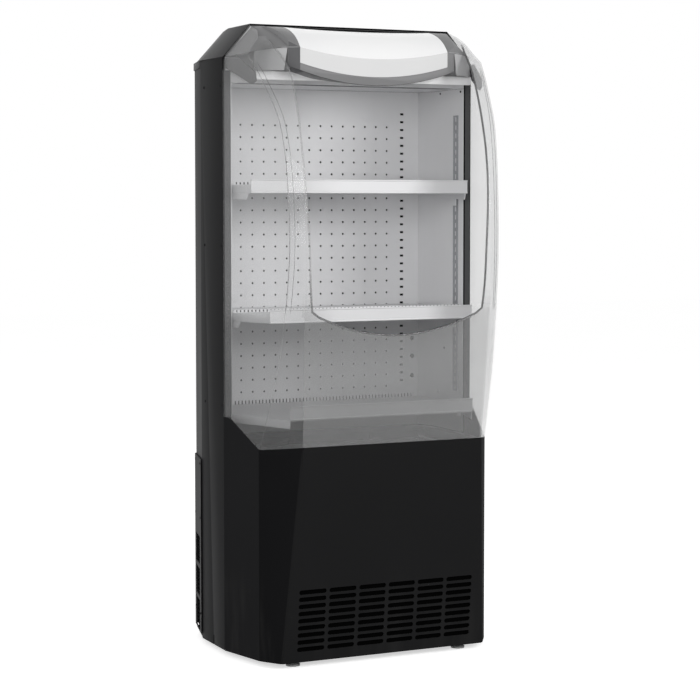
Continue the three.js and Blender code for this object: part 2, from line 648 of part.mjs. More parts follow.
function rearVentCover() {
  const outer = inset(CABINET_PLAN, Array(8).fill(-VENT_STEP));
  const inner = inset(CABINET_PLAN, Array(8).fill(VENT_SHEET - VENT_STEP));
  const ring = plate(outer, VENT_BOTTOM, VENT_TOP).subtract(plate(inner, VENT_BOTTOM - 1, VENT_TOP + 1));
  const rear = box(-CABINET_WIDTH, CABINET_WIDTH, SIDE_DEPTH + VENT_FRONT, CABINET_WIDTH, 0, CABINET_HEIGHT);
  const [near, far] = VENT_WINDOW_RUN;
  const windows = VENT_WINDOWS.map(([low, high]) => box(-HALF - 10, HALF + 10, SIDE_DEPTH + near,
    SIDE_DEPTH + far, low, high));
  const [length, height] = VENT_SLOT;
  const rows = Array.from({ length: VENT_ROWS }, (_, row) => {
    const z = 150 + row * VENT_ROW_PITCH;
    return [-0.5, 0.5].map((column) => frontPrism(louvre(column * (length + 20), z, length, height),
      CABINET_DEPTH - 5, CABINET_DEPTH + 15));
  }).flat();
  const socket = box(INLET.x - INLET.width / 2 - GAP, INLET.x + INLET.width / 2 + GAP, CABINET_DEPTH - 5,
    CABINET_DEPTH + 15, INLET.z - INLET.height / 2 - GAP, INLET.z + INLET.height / 2 + GAP);
  return cut(ring.intersect(rear), [...windows, ...rows, socket]);
}

// ---------------------------------------------------------------- shelves

// Loading surface of a shelf from above: straight sides, then a taper to the front edge.
function shelfPlan({ reach, halfWidth }) {
  const rearHalf = linerHalfWidth(BACK_DEPTH) - SEAT * 4;
  return [[-SHELF_SIDE, 0], [-halfWidth, -reach], [halfWidth, -reach], [SHELF_SIDE, 0],
    [SHELF_SIDE, SIDE_DEPTH - 4], [rearHalf, BACK_DEPTH - SEAT * 2], [-rearHalf, BACK_DEPTH - SEAT * 2],
    [-SHELF_SIDE, SIDE_DEPTH - 4]];
}

function shelfPan(shelf) {
  const plan = shelfPlan(shelf);
  const bottom = shelf.surface - SHELF_HEM;
  const block = plate(plan, bottom, shelf.surface);
  return block.subtract(plate(inset(plan, Array(8).fill(STEEL)), bottom - 1, shelf.surface - STEEL));
}

// The deck has no front hem: its front edge is folded up behind the price strip.
function deckPan() {
  const { surface, reach, halfWidth } = DECK;
  const half = halfWidth - STEEL;
  const [front, back] = [-reach, STEEL - reach];
  const hem = box(-half, half, front - 1, back + 0.5, surface - SHELF_HEM - 1, surface - STEEL);
  const top = surface + DECK_STRIP_RISE - DECK_UPSTAND_DROP;
  const upstand = box(-half, half, front, back, surface - STEEL, top);
  return shelfPan(DECK).subtract(hem).add(upstand);
}

function priceStrip({ surface, reach, halfWidth }, rise) {
  const top = surface + rise;
  const bottom = top - STRIP_HEIGHT;
  const back = -reach - GAP;
  const lip = 1.2;
  const outline = [[back, bottom], [back - STRIP_THICKNESS, bottom], [back - STRIP_THICKNESS, bottom + 3],
    [back - STRIP_THICKNESS + lip, bottom + 4], [back - STRIP_THICKNESS + lip, top - 4],
    [back - STRIP_THICKNESS, top - 3], [back - STRIP_THICKNESS, top], [back, top]];
  return sidePrism(outline.reverse(), -halfWidth, halfWidth);
}

function shelfBracket(shelf) {
  const hem = shelf.surface - SHELF_HEM - SEAT;
  const bottom = hem - BRACKET_DROP;
  const front = -shelf.bracketReach;
  const outline = [[front, hem], [front + BRACKET_NOSE, bottom], [BRACKET_REAR, bottom + 6],
    [BRACKET_REAR, hem]];
  const outer = SHELF_SIDE - BRACKET_INSET;
  const tip = shelf.halfWidth - BRACKET_INSET;
  const inner = outer - BRACKET_SHEET;
  const band = [[inner, SIDE_DEPTH], [inner, 0], [tip - BRACKET_SHEET, -shelf.reach], [tip, -shelf.reach],
    [outer, 0], [outer, SIDE_DEPTH]];
  const blade = sidePrism(outline.reverse(), 0, HALF).intersect(plate(band, bottom - 5, hem + 5));
  const slot = Math.floor((hem - RAIL_BOTTOM) / RAIL_PITCH) - 0.5;
  const hookHeight = RAIL_BOTTOM + slot * RAIL_PITCH;
  const [width, height] = RAIL_SLOT;
  const hookHalf = width / 2 - GAP;
  const hook = box(inner + 1, LINER_HALF - 2 * GAP, RAIL_DEPTH - hookHalf, RAIL_DEPTH + hookHalf,
    hookHeight - height / 2 + GAP, hookHeight + height / 2 - GAP);
  const web = box(inner, outer, RAIL_DEPTH - 12, RAIL_DEPTH + 12,
    hookHeight - height, bottom + 10);
  return blade.add(web).add(hook);
}

function deckRail() {
  const top = DECK.surface - SHELF_HEM - SEAT;
  const outer = LINER_HALF - GAP;
  return box(outer - 12, outer, 6, SIDE_DEPTH - 8, top - DECK_RAIL_HEIGHT, top);
}

// ---------------------------------------------------------------- lit canopy

function headerPanel() {
  const side = HALF - SCREEN - 2.5;
  const top = SCREEN_TOP - SCREEN;
  const lean = (top - EAVES) * ROOF_SLOPE_WIDTH / ROOF_SLOPE_HEIGHT;
  const bottom = CEILING + CEILING_BAND + GAP;
  const right = [[side, bottom], [side, EAVES], [side - lean, top]];
  return frontPrism([...right, ...mirrored(right)], -HEADER_SHEET - GAP, -GAP);
}

// The canopy's section as [y, z], moved in by a thickness, with its own one for the underside.
function canopySection(thickness, underside) {
  const top = new THREE.QuadraticBezierCurve(
    new THREE.Vector2(-CANOPY_TOP_REACH, CANOPY_TOP), new THREE.Vector2(-CANOPY_REACH + 28, CANOPY_TOP - 14),
    new THREE.Vector2(-CANOPY_REACH, CANOPY_KNEE));
  const rear = -HEADER_SHEET - 2 * GAP;
  const outline = [[rear, CANOPY_UNDERSIDE], [rear, CANOPY_TOP + 2],
    ...top.getPoints(5).map((point) => [point.x, point.y]), [-CANOPY_REACH, CANOPY_LIP_MIDDLE]];
  const moves = outline.map(() => thickness);
  moves[0] = -20;
  moves[moves.length - 1] = underside;
  return inset(outline, moves);
}

function canopyPlan(thickness) {
  const rear = -HEADER_SHEET - 2 * GAP;
  const outline = [[-CANOPY_SHOULDER_HALF_WIDTH, -CANOPY_SHOULDER_REACH], [-LENS_HALF_WIDTH, -CANOPY_REACH],
    [LENS_HALF_WIDTH, -CANOPY_REACH], [CANOPY_SHOULDER_HALF_WIDTH, -CANOPY_SHOULDER_REACH],
    [CANOPY_ROOT_HALF_WIDTH, rear], [-CANOPY_ROOT_HALF_WIDTH, rear]];
  return inset(outline, [thickness, thickness, thickness, thickness, 0, thickness]);
}

// A low arch from one end height to a lower middle.
function archPoints(half, ends, middle) {
  return Array.from({ length: ARCH_STEPS + 1 }, (_, i) => {
    const x = half * (2 * i / ARCH_STEPS - 1);
    return [x, middle + (ends - middle) * (x / half) ** 2];
  });
}

function canopyVolume(thickness, underside, rise) {
  const [ends, edge] = [CANOPY_LIP_END + rise, CANOPY_ROOT_HALF_WIDTH];
  const arch = archPoints(CANOPY_SHOULDER_HALF_WIDTH, ends, CANOPY_LIP_MIDDLE + rise);
  const right = [[edge, ends], [edge, CABINET_HEIGHT]];
  const outline = [...arch, ...right, ...mirrored(right)];
  return sidePrism(canopySection(thickness, underside), -HALF, HALF)
    .intersect(plate(canopyPlan(thickness), CANOPY_LIP_MIDDLE - 30, CABINET_HEIGHT))
    .intersect(frontPrism(outline, -2 * CANOPY_REACH, 10));
}

function lensWindow(clearance) {
  const half = LENS_HALF_WIDTH + clearance;
  const arch = archPoints(half, LENS_EDGE_END - clearance, LENS_EDGE_MIDDLE - clearance);
  return frontPrism([...arch, [half, CANOPY_TOP + 30], [-half, CANOPY_TOP + 30]], -2 * CANOPY_REACH,
    -CANOPY_TOP_REACH + clearance);
}

function canopyHousing() {
  const outer = canopyVolume(0, 0, 0);
  const inner = canopyVolume(CANOPY_WALL, CANOPY_WALL, 2 * CANOPY_WALL);
  const socket = box(-HALF, HALF, -LAMP_REACH - LAMP_SOCKET, 0, LAMP_HEIGHT - LAMP_SOCKET,
    LAMP_HEIGHT + LAMP_SOCKET);
  const ends = socket.intersect(outer).subtract(lensWindow(GAP));
  const half = LENS_HALF_WIDTH + GAP;
  const middle = box(-half, half, -HALF, HALF, CANOPY_UNDERSIDE, CABINET_HEIGHT);
  return outer.subtract(inner).subtract(lensWindow(GAP)).add(ends.subtract(middle));
}

function canopyLens() {
  const outer = canopyVolume(0, 0, 0);
  const inner = canopyVolume(LENS_SHEET, -20, -20);
  return outer.subtract(inner).intersect(lensWindow(0));
}

function canopyArm() {
  const profile = dropped(ARM_BOW).map(([reach, z]) => [-reach - HEADER_SHEET - 2 * GAP, z]);
  const far = CANOPY_REACH;
  const outer = (reach) => wingHalfWidth(reach) - SCREEN - 2 * GAP;
  const plan = [[outer(0) - ARM_SHEET, 0], [outer(far) - ARM_SHEET, -far], [outer(far), -far], [outer(0), 0]];
  return sidePrism(profile, 0, HALF).intersect(plate(plan, FOLD_TOP, CABINET_HEIGHT));
}

// ---------------------------------------------------------------- cooling

// A block of fins between two end plates that stand on what carries it, with its return bends outside them.
function finnedCoil({ halfWidth, front, back, bottom, top, rows }, floor) {
  const { sheet, margin } = COIL_PLATE;
  const core = box(-halfWidth, halfWidth, front, back, bottom, top);
  const middle = (front + back) / 2;
  const ends = [-halfWidth, halfWidth].flatMap((x) => {
    const end = box(x - sheet, x + sheet, front - margin, back + margin, floor, top + margin);
    const bends = Array.from({ length: rows }, (_, i) => {
      const bend = new THREE.TorusGeometry(BEND_RADIUS, TUBE_RADIUS, 6, 8, Math.PI);
      const capped = solid(closedArc(bend, 6, 8)).rotate([0, 0, x > 0 ? -90 : 90]);
      return capped.translate(x, middle, bottom + (top - bottom) * (i + 0.5) / rows);
    });
    return [end, ...bends];
  });
  return join([core, ...ends]);
}

// Closes the two ends of part of a torus.
function closedArc(arc, sides, steps) {
  const position = arc.attributes.position;
  const caps = [0, steps].flatMap((step) => {
    const ring = Array.from({ length: sides }, (_, i) => i * (steps + 1) + step);
    const fan = ring.slice(1, -1).map((vertex, i) => [ring[0], vertex, ring[i + 2]]);
    return step ? fan.map((triangle) => triangle.reverse()) : fan;
  });
  const closed = new THREE.BufferGeometry();
  closed.setAttribute('position', position);
  closed.setIndex([...arc.index.array, ...caps.flat()]);
  return closed;
}

function fanRotor(x, z, front, { radius, hub, width, shaft }) {
  const pieces = [barrel(x, z, hub, front, front + width, 16)];
  for (let i = 0; i < FAN_BLADES; i += 1) {
    const blade = new THREE.BoxGeometry(radius - hub / 2, width * 0.18, hub * 1.25);
    blade.translate((radius + hub / 2) / 2, 0, 0).rotateX(THREE.MathUtils.degToRad(32));
    blade.rotateY(2 * Math.PI * i / FAN_BLADES).translate(x, front + width / 2, z);
    pieces.push(solid(blade));
  }
  return join(pieces).subtract(barrel(x, z, shaft + GAP, front + width / 2, front + width + 5, 12));
}

// A motor on a pedestal behind its rotor: the shaft ends inside the hub.
function fanMotor(x, z, floor, front, { width, shaft }, { radius, length }) {
  const face = front + width + 4;
  const back = face + length;
  const body = barrel(x, z, radius, face, back);
  const spindle = barrel(x, z, shaft, front + width / 2 + 2, face + 2, 12);
  const pedestal = box(x - radius / 2, x + radius / 2, face + 6, back - 5, floor, z);
  const foot = box(x - radius * 1.15, x + radius * 1.15, face + 3, back, floor, floor + 2);
  return join([body, spindle, pedestal, foot]);
}

function evaporatorFanPlate() {
  const inner = wingTank(TANK_WALL);
  const half = Math.min(...inner.filter(([, y]) => y > 0).map(([x]) => Math.abs(x))) - SEAT;
  const panel = box(-half, half, FAN_PLATE_DEPTH, FAN_PLATE_DEPTH + STEEL, TANK_FLOOR, TANK_TOP - 2);
  const holes = [-FAN_X, FAN_X].map((x) => barrel(x, FAN_HEIGHT, FAN.radius + FAN_CLEARANCE,
    FAN_PLATE_DEPTH - 5, FAN_PLATE_DEPTH + STEEL + 5, 24));
  return cut(panel, holes);
}

const FAN_FRONT = FAN_PLATE_DEPTH + STEEL + 2;

// The tank from above, inside the side panels and the lower cover.
function wingTank(thickness) {
  const behind = TANK_COVER_GAP;
  const cover = inset(coverPlan(TANK_BOTTOM), [behind, behind, behind, behind, 0, behind]);
  const side = PANEL_INNER[1][0] - TANK_MARGIN;
  const rear = PANEL_INNER.slice(2, 4).map(([x, y]) => [x - TANK_MARGIN, y - TANK_MARGIN]);
  const outline = [cover[0], cover[1], cover[2], cover[3], [side, -WING_FLAT], ...rear,
    ...mirrored(rear), [-side, -WING_FLAT]];
  return inset(outline, Array(outline.length).fill(thickness));
}

function tank() {
  const outer = plate(wingTank(0), TANK_BOTTOM, TANK_TOP);
  const inner = plate(wingTank(TANK_WALL), TANK_BOTTOM + TANK_WALL, TANK_TOP + 5);
  const drain = post(TRAY.x, TRAY.y, DRAIN_RADIUS + GAP, TANK_BOTTOM - 5, TANK_BOTTOM + TANK_WALL + 5);
  return outer.subtract(inner).subtract(drain);
}

function tankLeg() {
  const outer = PANEL_INNER[1][0] - GAP;
  const top = TANK_BOTTOM - GAP;
  const { inset: end, flange } = TANK_LEG;
  const [front, back] = [end, SIDE_DEPTH - end];
  const upright = box(outer - STEEL, outer, front, back, BASE_FLOOR, top);
  return upright.add(box(outer - flange, outer, front, back, top - STEEL, top));
}

const BIG_FAN_Z = (CONDENSER.bottom + CONDENSER.top) / 2;
const SHROUD_FRONT = CONDENSER.back + COIL_PLATE.margin + GAP;
const BIG_FAN_FRONT = SHROUD_FRONT + STEEL + 3;

function fanShroud() {
  const half = CONDENSER.halfWidth;
  const opening = BIG_FAN.radius + FAN_CLEARANCE;
  const panel = box(-half, half, SHROUD_FRONT, SHROUD_FRONT + STEEL, BASE_FLOOR, CONDENSER.top);
  const collar = barrel(0, BIG_FAN_Z, opening + STEEL, SHROUD_FRONT, SHROUD_FRONT + SHROUD_DEPTH, 32);
  const bore = barrel(0, BIG_FAN_Z, opening, SHROUD_FRONT - 5, SHROUD_FRONT + SHROUD_DEPTH + 5, 32);
  return panel.add(collar).subtract(bore);
}

function compressor() {
  const { x, y, radius, height, foot, cushion, plate: thickness } = COMPRESSOR;
  const profile = [[0, 0], [radius * 0.62, 0], [radius * 0.94, height * 0.1], [radius, height * 0.26],
    [radius, height * 0.5], [radius * 1.04, height * 0.5], [radius * 1.04, height * 0.54],
    [radius, height * 0.54],
    [radius * 0.97, height * 0.78], [radius * 0.8, height * 0.93], [radius * 0.45, height], [0, height]];
  const span = radius * 0.94;
  const seat = BASE_FLOOR + foot;
  const shell = turned(profile, 18).translate(x, y, seat);
  const base = box(x - span, x + span, y - span, y + span, seat, seat + thickness);
  const inner = span - cushion - thickness;
  const corners = [[-inner, -inner], [inner, -inner], [inner, inner], [-inner, inner]];
  const cushions = corners.map(([i, j]) => post(x + i, y + j, cushion, BASE_FLOOR, seat + thickness / 3));
  return join([shell, base, ...cushions]);
}

function evaporationTray() {
  const { x, y, width, depth, height, wall } = TRAY;
  const block = brick(x, y, width, depth, BASE_FLOOR, height);
  return block.subtract(brick(x, y, width - 2 * wall, depth - 2 * wall, BASE_FLOOR + wall, height));
}

function drainPipe() {
  const bottom = BASE_BOTTOM + BASE_SHEET + TRAY.wall + 4;
  const top = TANK_BOTTOM + TANK_WALL;
  const tube = post(TRAY.x, TRAY.y, DRAIN_RADIUS, bottom, top, 12);
  const flange = post(TRAY.x, TRAY.y, DRAIN_RADIUS + 6, top + GAP, top + 2.5, 16);
  const neck = post(TRAY.x, TRAY.y, DRAIN_RADIUS, top - 1, top + 1, 12);
  const bore = post(TRAY.x, TRAY.y, DRAIN_RADIUS - 2, bottom - 5, top + 10, 12);
  return join([tube, neck, flange]).subtract(bore);
}

function controlBox() {
  const { x, y, width, depth, height } = CONTROL_BOX;
  return brick(x, y, width, depth, BASE_FLOOR, height);
}

function powerInlet() {
  const back = CABINET_DEPTH + VENT_STEP;
  const inner = back - VENT_SHEET - GAP;
  const { x, z, width, height, depth, flange } = INLET;
  const block = (front, rear, grow) => box(x - width / 2 - grow, x + width / 2 + grow, front, rear,
    z - height / 2 - grow, z + height / 2 + grow);
  const body = join([block(inner - depth, back, 0), block(inner - 3, inner, flange)]);
  const pins = [-6, 0, 6].map((offset) => {
    const left = x + offset - 1;
    return box(left, left + 2, back - 17, back - 4, z - 2.5, z + 2.5);
  });
  return join([body.subtract(block(back - 16, back + 5, -3)), ...pins]);
}

function basePlate() {
  const between = cabinetInset(0, WALL - STEEL, CORNER_WALL, REAR_WALL);
  const lap = SIDE_DEPTH + VENT_FRONT + VENT_LAP + GAP;
  const right = [[between[1][0], -WING_FLAT], between[2], [halfWidthAt(between, lap), lap],
    [halfWidthAt(CABINET_PLAN, lap), lap], ...CABINET_PLAN.slice(3, 5)];
  const outline = [...coverPlan(0, COVER_SHEET + 1).slice(0, 4), ...right, ...mirrored(right)];
  const panel = plate(outline, BASE_BOTTOM, BASE_BOTTOM + BASE_SHEET);
  const holes = footPlaces().map(({ x, y }) => post(x, y, FOOT_STEM + GAP, -5, BASE_BOTTOM + BASE_SHEET + 5));
  return cut(panel, holes);
}

// The hot gas line to the condenser, and the return line from the tank.
function dischargeLine() {
  const top = BASE_FLOOR + COMPRESSOR.foot + COMPRESSOR.height;
  const endX = -CONDENSER.halfWidth - BEND_RADIUS - TUBE_RADIUS - GAP;
  const endZ = CONDENSER.top - (CONDENSER.top - CONDENSER.bottom) / (2 * CONDENSER.rows);
  const endY = (CONDENSER.front + CONDENSER.back) / 2;
  const start = [COMPRESSOR.x, COMPRESSOR.y, top + GAP];
  const [x, y] = start;
  const bend = PIPE_BEND;
  return pipe([start, [x, y, top + 1.5 * bend], [x, y - 2 * bend, top + 2.4 * bend],
    [x - bend, TRAY.y + bend / 2, top + 1.5 * bend], [endX - 3 * bend, endY + 3 * bend, endZ],
    [endX - 2 * bend, endY, endZ], [endX, endY, endZ]], PIPE_RADIUS, 6, 20);
}

function suctionLine() {
  const shellX = COMPRESSOR.x + COMPRESSOR.radius + GAP;
  const z = BASE_FLOOR + COMPRESSOR.foot + COMPRESSOR.height * 0.35;
  const { y } = COMPRESSOR;
  const bend = PIPE_BEND;
  const riser = shellX + 1.9 * bend;
  const top = TANK_BOTTOM - GAP;
  return pipe([[shellX + GAP, y, z], [shellX + 1.1 * bend, y, z], [riser, y, z + 2 * bend],
    [riser, y, (z + top) / 2], [riser, y, top]], PIPE_RADIUS, 6, 14);
}

function footPlaces() {
  return [
    { name: 'foot_front_left', x: -FOOT_X, y: -FOOT_FRONT_REACH },
    { name: 'foot_front_right', x: FOOT_X, y: -FOOT_FRONT_REACH },
    { name: 'foot_rear_left', x: -FOOT_X, y: FOOT_REAR_DEPTH },
    { name: 'foot_rear_right', x: FOOT_X, y: FOOT_REAR_DEPTH }];
}

function foot(x, y) {
  const nut = BASE_BOTTOM - GAP;
  const profile = [[0, -FOOT_HEIGHT], [FOOT_RADIUS, -FOOT_HEIGHT], [FOOT_RADIUS, -FOOT_HEIGHT + 4],
    [FOOT_STEM + 5, -FOOT_HEIGHT + 9], [FOOT_STEM + 5, nut], [FOOT_STEM, nut], [FOOT_STEM, FOOT_STEM_TOP],
    [0, FOOT_STEM_TOP]];
  return turned(profile, 16).translate(x, y, 0);
}

// ---------------------------------------------------------------- assembly

const FINISHES = {
  blackSteel: { color: 0x1f1f20, roughness: 0.5, metalness: 0.1 },
  greySteel: { color: 0x4c4c4e, roughness: 0.5, metalness: 0.1 },
  whiteSteel: { color: 0xe4e4e6, roughness: 0.4, metalness: 0.05 },
  greyPlastic: { color: 0x7c7c7f, roughness: 0.5, metalness: 0 },
  opal: { color: 0xf4f4f4, roughness: 0.3, metalness: 0 },
  clear: { color: 0xeef2f4, roughness: 0.05, metalness: 0, transparent: true, opacity: 0.3 },
  zinc: { color: 0xa9adb0, roughness: 0.4, metalness: 0.8 },
  copper: { color: 0xb8704a, roughness: 0.35, metalness: 0.9 },
  blackPlastic: { color: 0x161618, roughness: 0.6, metalness: 0 }
};

const cabinet = new THREE.Group();

function add(name, manifold, finish) {
  const mesh = new THREE.Mesh(geometryOf(manifold), new THREE.MeshStandardMaterial(FINISHES[finish]));
  mesh.name = name;
  cabinet.add(mesh);
}

function addPair(name, manifold, finish) {
  add(`${name}_left`, manifold.mirror([1, 0, 0]), finish);
  add(`${name}_right`, manifold, finish);
}

add('base_plate', basePlate(), 'zinc');
addPair('side_panel', sidePanel(), 'blackSteel');
add('rear_panel', rearPanel(), 'greySteel');
add('roof_cap', roofCap(), 'greySteel');
addPair('side_liner', liner(), 'whiteSteel');
add('back_panel', backPanel(), 'whiteSteel');
add('ceiling_duct', ceilingDuct(), 'whiteSteel');
add('air_outlet', honeycomb(), 'greyPlastic');
addPair('side_rail', sideRail(), 'greyPlastic');
add('front_cover', frontCover(), 'blackSteel');
add('rear_vent_cover', rearVentCover(), 'greySteel');

add('header_panel', headerPanel(), 'greyPlastic');
add('canopy_housing', canopyHousing(), 'greyPlastic');
add('canopy_lens', canopyLens(), 'opal');
add('canopy_lamp', rod(-LAMP_REACH, LAMP_HEIGHT, LAMP_RADIUS, -LENS_HALF_WIDTH, LENS_HALF_WIDTH, 12), 'opal');
addPair('canopy_arm', canopyArm(), 'greyPlastic');

const clear = screens();
add('side_screen_left', clear.left, 'clear');
add('side_screen_right', clear.right, 'clear');
add('front_screen', clear.front, 'clear');

add('shelf_upper', shelfPan(UPPER_SHELF), 'whiteSteel');
add('price_strip_upper', priceStrip(UPPER_SHELF, STRIP_RISE), 'whiteSteel');
addPair('shelf_bracket_upper', shelfBracket(UPPER_SHELF), 'whiteSteel');
add('shelf_lower', shelfPan(LOWER_SHELF), 'whiteSteel');
add('price_strip_lower', priceStrip(LOWER_SHELF, STRIP_RISE), 'whiteSteel');
addPair('shelf_bracket_lower', shelfBracket(LOWER_SHELF), 'whiteSteel');
add('deck_tray', deckPan(), 'whiteSteel');
add('price_strip_deck', priceStrip(DECK, DECK_STRIP_RISE), 'whiteSteel');
addPair('deck_rail', deckRail(), 'whiteSteel');

add('tank', tank(), 'whiteSteel');
addPair('tank_leg', tankLeg(), 'zinc');
add('evaporator_coil', finnedCoil(COIL, TANK_FLOOR), 'zinc');
add('evaporator_fan_plate', evaporatorFanPlate(), 'zinc');
for (const [side, x] of [['left', -FAN_X], ['right', FAN_X]]) {
  add(`evaporator_fan_${side}`, fanRotor(x, FAN_HEIGHT, FAN_FRONT, FAN), 'blackPlastic');
  add(`evaporator_motor_${side}`, fanMotor(x, FAN_HEIGHT, TANK_FLOOR, FAN_FRONT, FAN, MOTOR), 'zinc');
}

add('condenser_coil', finnedCoil(CONDENSER, BASE_FLOOR), 'zinc');
add('condenser_shroud', fanShroud(), 'blackSteel');
add('condenser_fan', fanRotor(0, BIG_FAN_Z, BIG_FAN_FRONT, BIG_FAN), 'blackPlastic');
add('condenser_motor', fanMotor(0, BIG_FAN_Z, BASE_FLOOR, BIG_FAN_FRONT, BIG_FAN, BIG_MOTOR), 'zinc');
add('compressor', compressor(), 'blackSteel');
add('evaporation_tray', evaporationTray(), 'blackPlastic');
add('drain_pipe', drainPipe(), 'greyPlastic');
add('control_box', controlBox(), 'greySteel');
add('power_inlet', powerInlet(), 'blackPlastic');
add('discharge_line', dischargeLine(), 'copper');
add('suction_line', suctionLine(), 'copper');

for (const { name, x, y } of footPlaces()) {
  add(name, foot(x, y), 'greyPlastic');
}

// The origin is under the middle of the whole object, on the floor.
const FRONT_EXTENT = Math.max(...screenLevels().map((z) => -Math.min(...screenPlan(z, 0).map(([, y]) => y))));
const REAR_EXTENT = CABINET_DEPTH + VENT_STEP;
cabinet.position.set(0, (FRONT_EXTENT - REAR_EXTENT) / 2, FOOT_HEIGHT);

const group = new THREE.Group();
group.add(cabinet);

export default group;
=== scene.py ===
"""Looks of an open multideck display fridge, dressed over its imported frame.

Shapes are worked out in millimetres from the cabinet's datum: the bottom edge of the side
panels and their front plane, with y negative in front of that plane.
"""

import json
import logging
import math
from dataclasses import dataclass
from enum import Enum
from typing import Callable, Iterable, Sequence, Union

import bmesh
import bpy
from mathutils import Matrix, Vector


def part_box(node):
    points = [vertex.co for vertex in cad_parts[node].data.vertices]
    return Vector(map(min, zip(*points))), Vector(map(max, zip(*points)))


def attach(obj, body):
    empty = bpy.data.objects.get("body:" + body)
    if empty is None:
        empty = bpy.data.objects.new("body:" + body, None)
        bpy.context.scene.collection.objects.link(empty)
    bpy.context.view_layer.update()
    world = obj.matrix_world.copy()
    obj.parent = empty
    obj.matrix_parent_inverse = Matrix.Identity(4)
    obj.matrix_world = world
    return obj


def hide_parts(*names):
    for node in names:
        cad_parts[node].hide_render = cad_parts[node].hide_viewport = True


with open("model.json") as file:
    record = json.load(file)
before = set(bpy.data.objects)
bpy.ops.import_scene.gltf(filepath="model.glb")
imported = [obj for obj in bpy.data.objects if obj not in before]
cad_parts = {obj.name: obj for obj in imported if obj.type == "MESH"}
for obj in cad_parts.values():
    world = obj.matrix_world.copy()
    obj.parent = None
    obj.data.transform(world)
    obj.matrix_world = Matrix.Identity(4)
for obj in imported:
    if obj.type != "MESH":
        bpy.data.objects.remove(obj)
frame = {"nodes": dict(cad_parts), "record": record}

LOG = logging.getLogger("fridge")
HAZE_AND_REFLECTION = "haze"
WHITE = (1.0, 1.0, 1.0)
Pair = tuple[float, float]
Colour = tuple[float, float, float]
Place = tuple[float, float, float]
Value = Union[float, Sequence[float], "Signal"]


class Body(Enum):
    """The moving bodies that new pieces ride on."""

    CABINET = "cabinet"
    SHELF_UPPER = "shelf_upper"
    SHELF_LOWER = "shelf_lower"
    DECK = "deck"


class Side(Enum):
    """The two sides of the cabinet, as the sign of x."""

    LEFT = -1
    RIGHT = 1

    @property
    def word(self) -> str:
        """The side's name in a piece's name."""
        return self.name.lower()

    @property
    def turn(self) -> Matrix:
        """Brings a right-hand shape to this side."""
        return Matrix.Scale(self.value, 4, (1, 0, 0))


# ------------------------------------------------------------------ shader maths


def operator(operation: str, reflected: bool = False) -> Callable[["Signal", Value], "Signal"]:
    """One of Python's operators as a Math node.

    Args:
        operation: The Math node's operation.
        reflected: Whether the signal stands on the right.

    Returns:
        The operator's method.
    """
    def method(self: "Signal", other: Value) -> "Signal":
        """Adds the Math node."""
        return self.math(operation, *((other, self) if reflected else (self, other)))

    return method


class Signal:
    """A shader value. Python's operators on it add Math nodes."""

    def __init__(self, shader: "Tree", socket: bpy.types.NodeSocket) -> None:
        """Wraps an output socket of a tree's node."""
        self.shader = shader
        self.socket = socket

    def math(self, operation: str, *values: Value) -> "Signal":
        """Adds a Math node with an operation and its inputs in order, and returns its result."""
        return self.shader.node("ShaderNodeMath", {"operation": operation}, dict(enumerate(values)))

    __add__, __radd__ = operator("ADD"), operator("ADD", True)
    __sub__, __rsub__ = operator("SUBTRACT"), operator("SUBTRACT", True)
    __mul__, __rmul__ = operator("MULTIPLY"), operator("MULTIPLY", True)
    __truediv__, __rtruediv__ = operator("DIVIDE"), operator("DIVIDE", True)
    __pow__ = operator("POWER")
    __gt__ = operator("GREATER_THAN")

    def ramp(self, low: float, high: float) -> "Signal":
        """Spreads low..high over 0..1, smoothly, and clamps it.

        Args:
            low: The value that becomes 0.
            high: The value that becomes 1.

        Returns:
            The spread value.
        """
        settings = {"interpolation_type": "SMOOTHSTEP"}
        inputs = {0: self, 1: low, 2: high, 3: 0.0, 4: 1.0}
        return self.shader.node("ShaderNodeMapRange", settings, inputs)

    def clamped(self) -> "Signal":
        """The value held within 0..1."""
        return self.shader.node("ShaderNodeClamp", {}, {0: self, 1: 0.0, 2: 1.0})

    def unsigned(self) -> "Signal":
        """The value without its sign."""
        return self.math("ABSOLUTE", self)


class Tree:
    """A node tree whose nodes all come from one method."""

    def __init__(self, tree: bpy.types.NodeTree, output: str) -> None:
        """Empties the tree and gives it its output node.

        Args:
            tree: The node tree.
            output: The output node's type name.
        """
        self.tree = tree
        tree.nodes.clear()
        self.output = tree.nodes.new(output).inputs["Surface"]

    def node(self, kind: str, settings: dict[str, object], inputs: dict[Union[int, str], Value],
             output: Union[int, str] = 0) -> Signal:
        """Adds a node of any kind.

        Args:
            kind: The node's type name.
            settings: Its properties, set first.
            inputs: Values or signals for its sockets.
            output: Which output to return.

        Returns:
            The chosen output.
        """
        made = self.tree.nodes.new(kind)
        for key, value in settings.items():
            setattr(made, key, value)
        for key, value in inputs.items():
            self.feed(made.inputs[key], value)
        return Signal(self, made.outputs[output])

    def feed(self, socket: bpy.types.NodeSocket, value: Value) -> None:
        """Links a signal to a socket, or sets the socket's own value.

        Args:
            socket: The input socket.
            value: A signal, a number, or a colour or vector.
        """
        if isinstance(value, Signal):
            self.tree.links.new(value.socket, socket)
        elif isinstance(value, (int, float)):
            socket.default_value = value
        elif len(socket.default_value) == 4 and len(value) == 3:
            socket.default_value = (*value, 1.0)
        else:
            socket.default_value = value

    def rays(self, *names: str) -> Signal:
        """Tells rays of some kinds from the rest.

        Args:
            names: The names of Light Path's outputs.

        Returns:
            1 for a ray of any of those kinds, else 0.
        """
        seen, *others = (self.node("ShaderNodeLightPath", {}, {}, name) for name in names)
        for other in others:
            seen = seen.math("MAXIMUM", seen, other)
        return seen


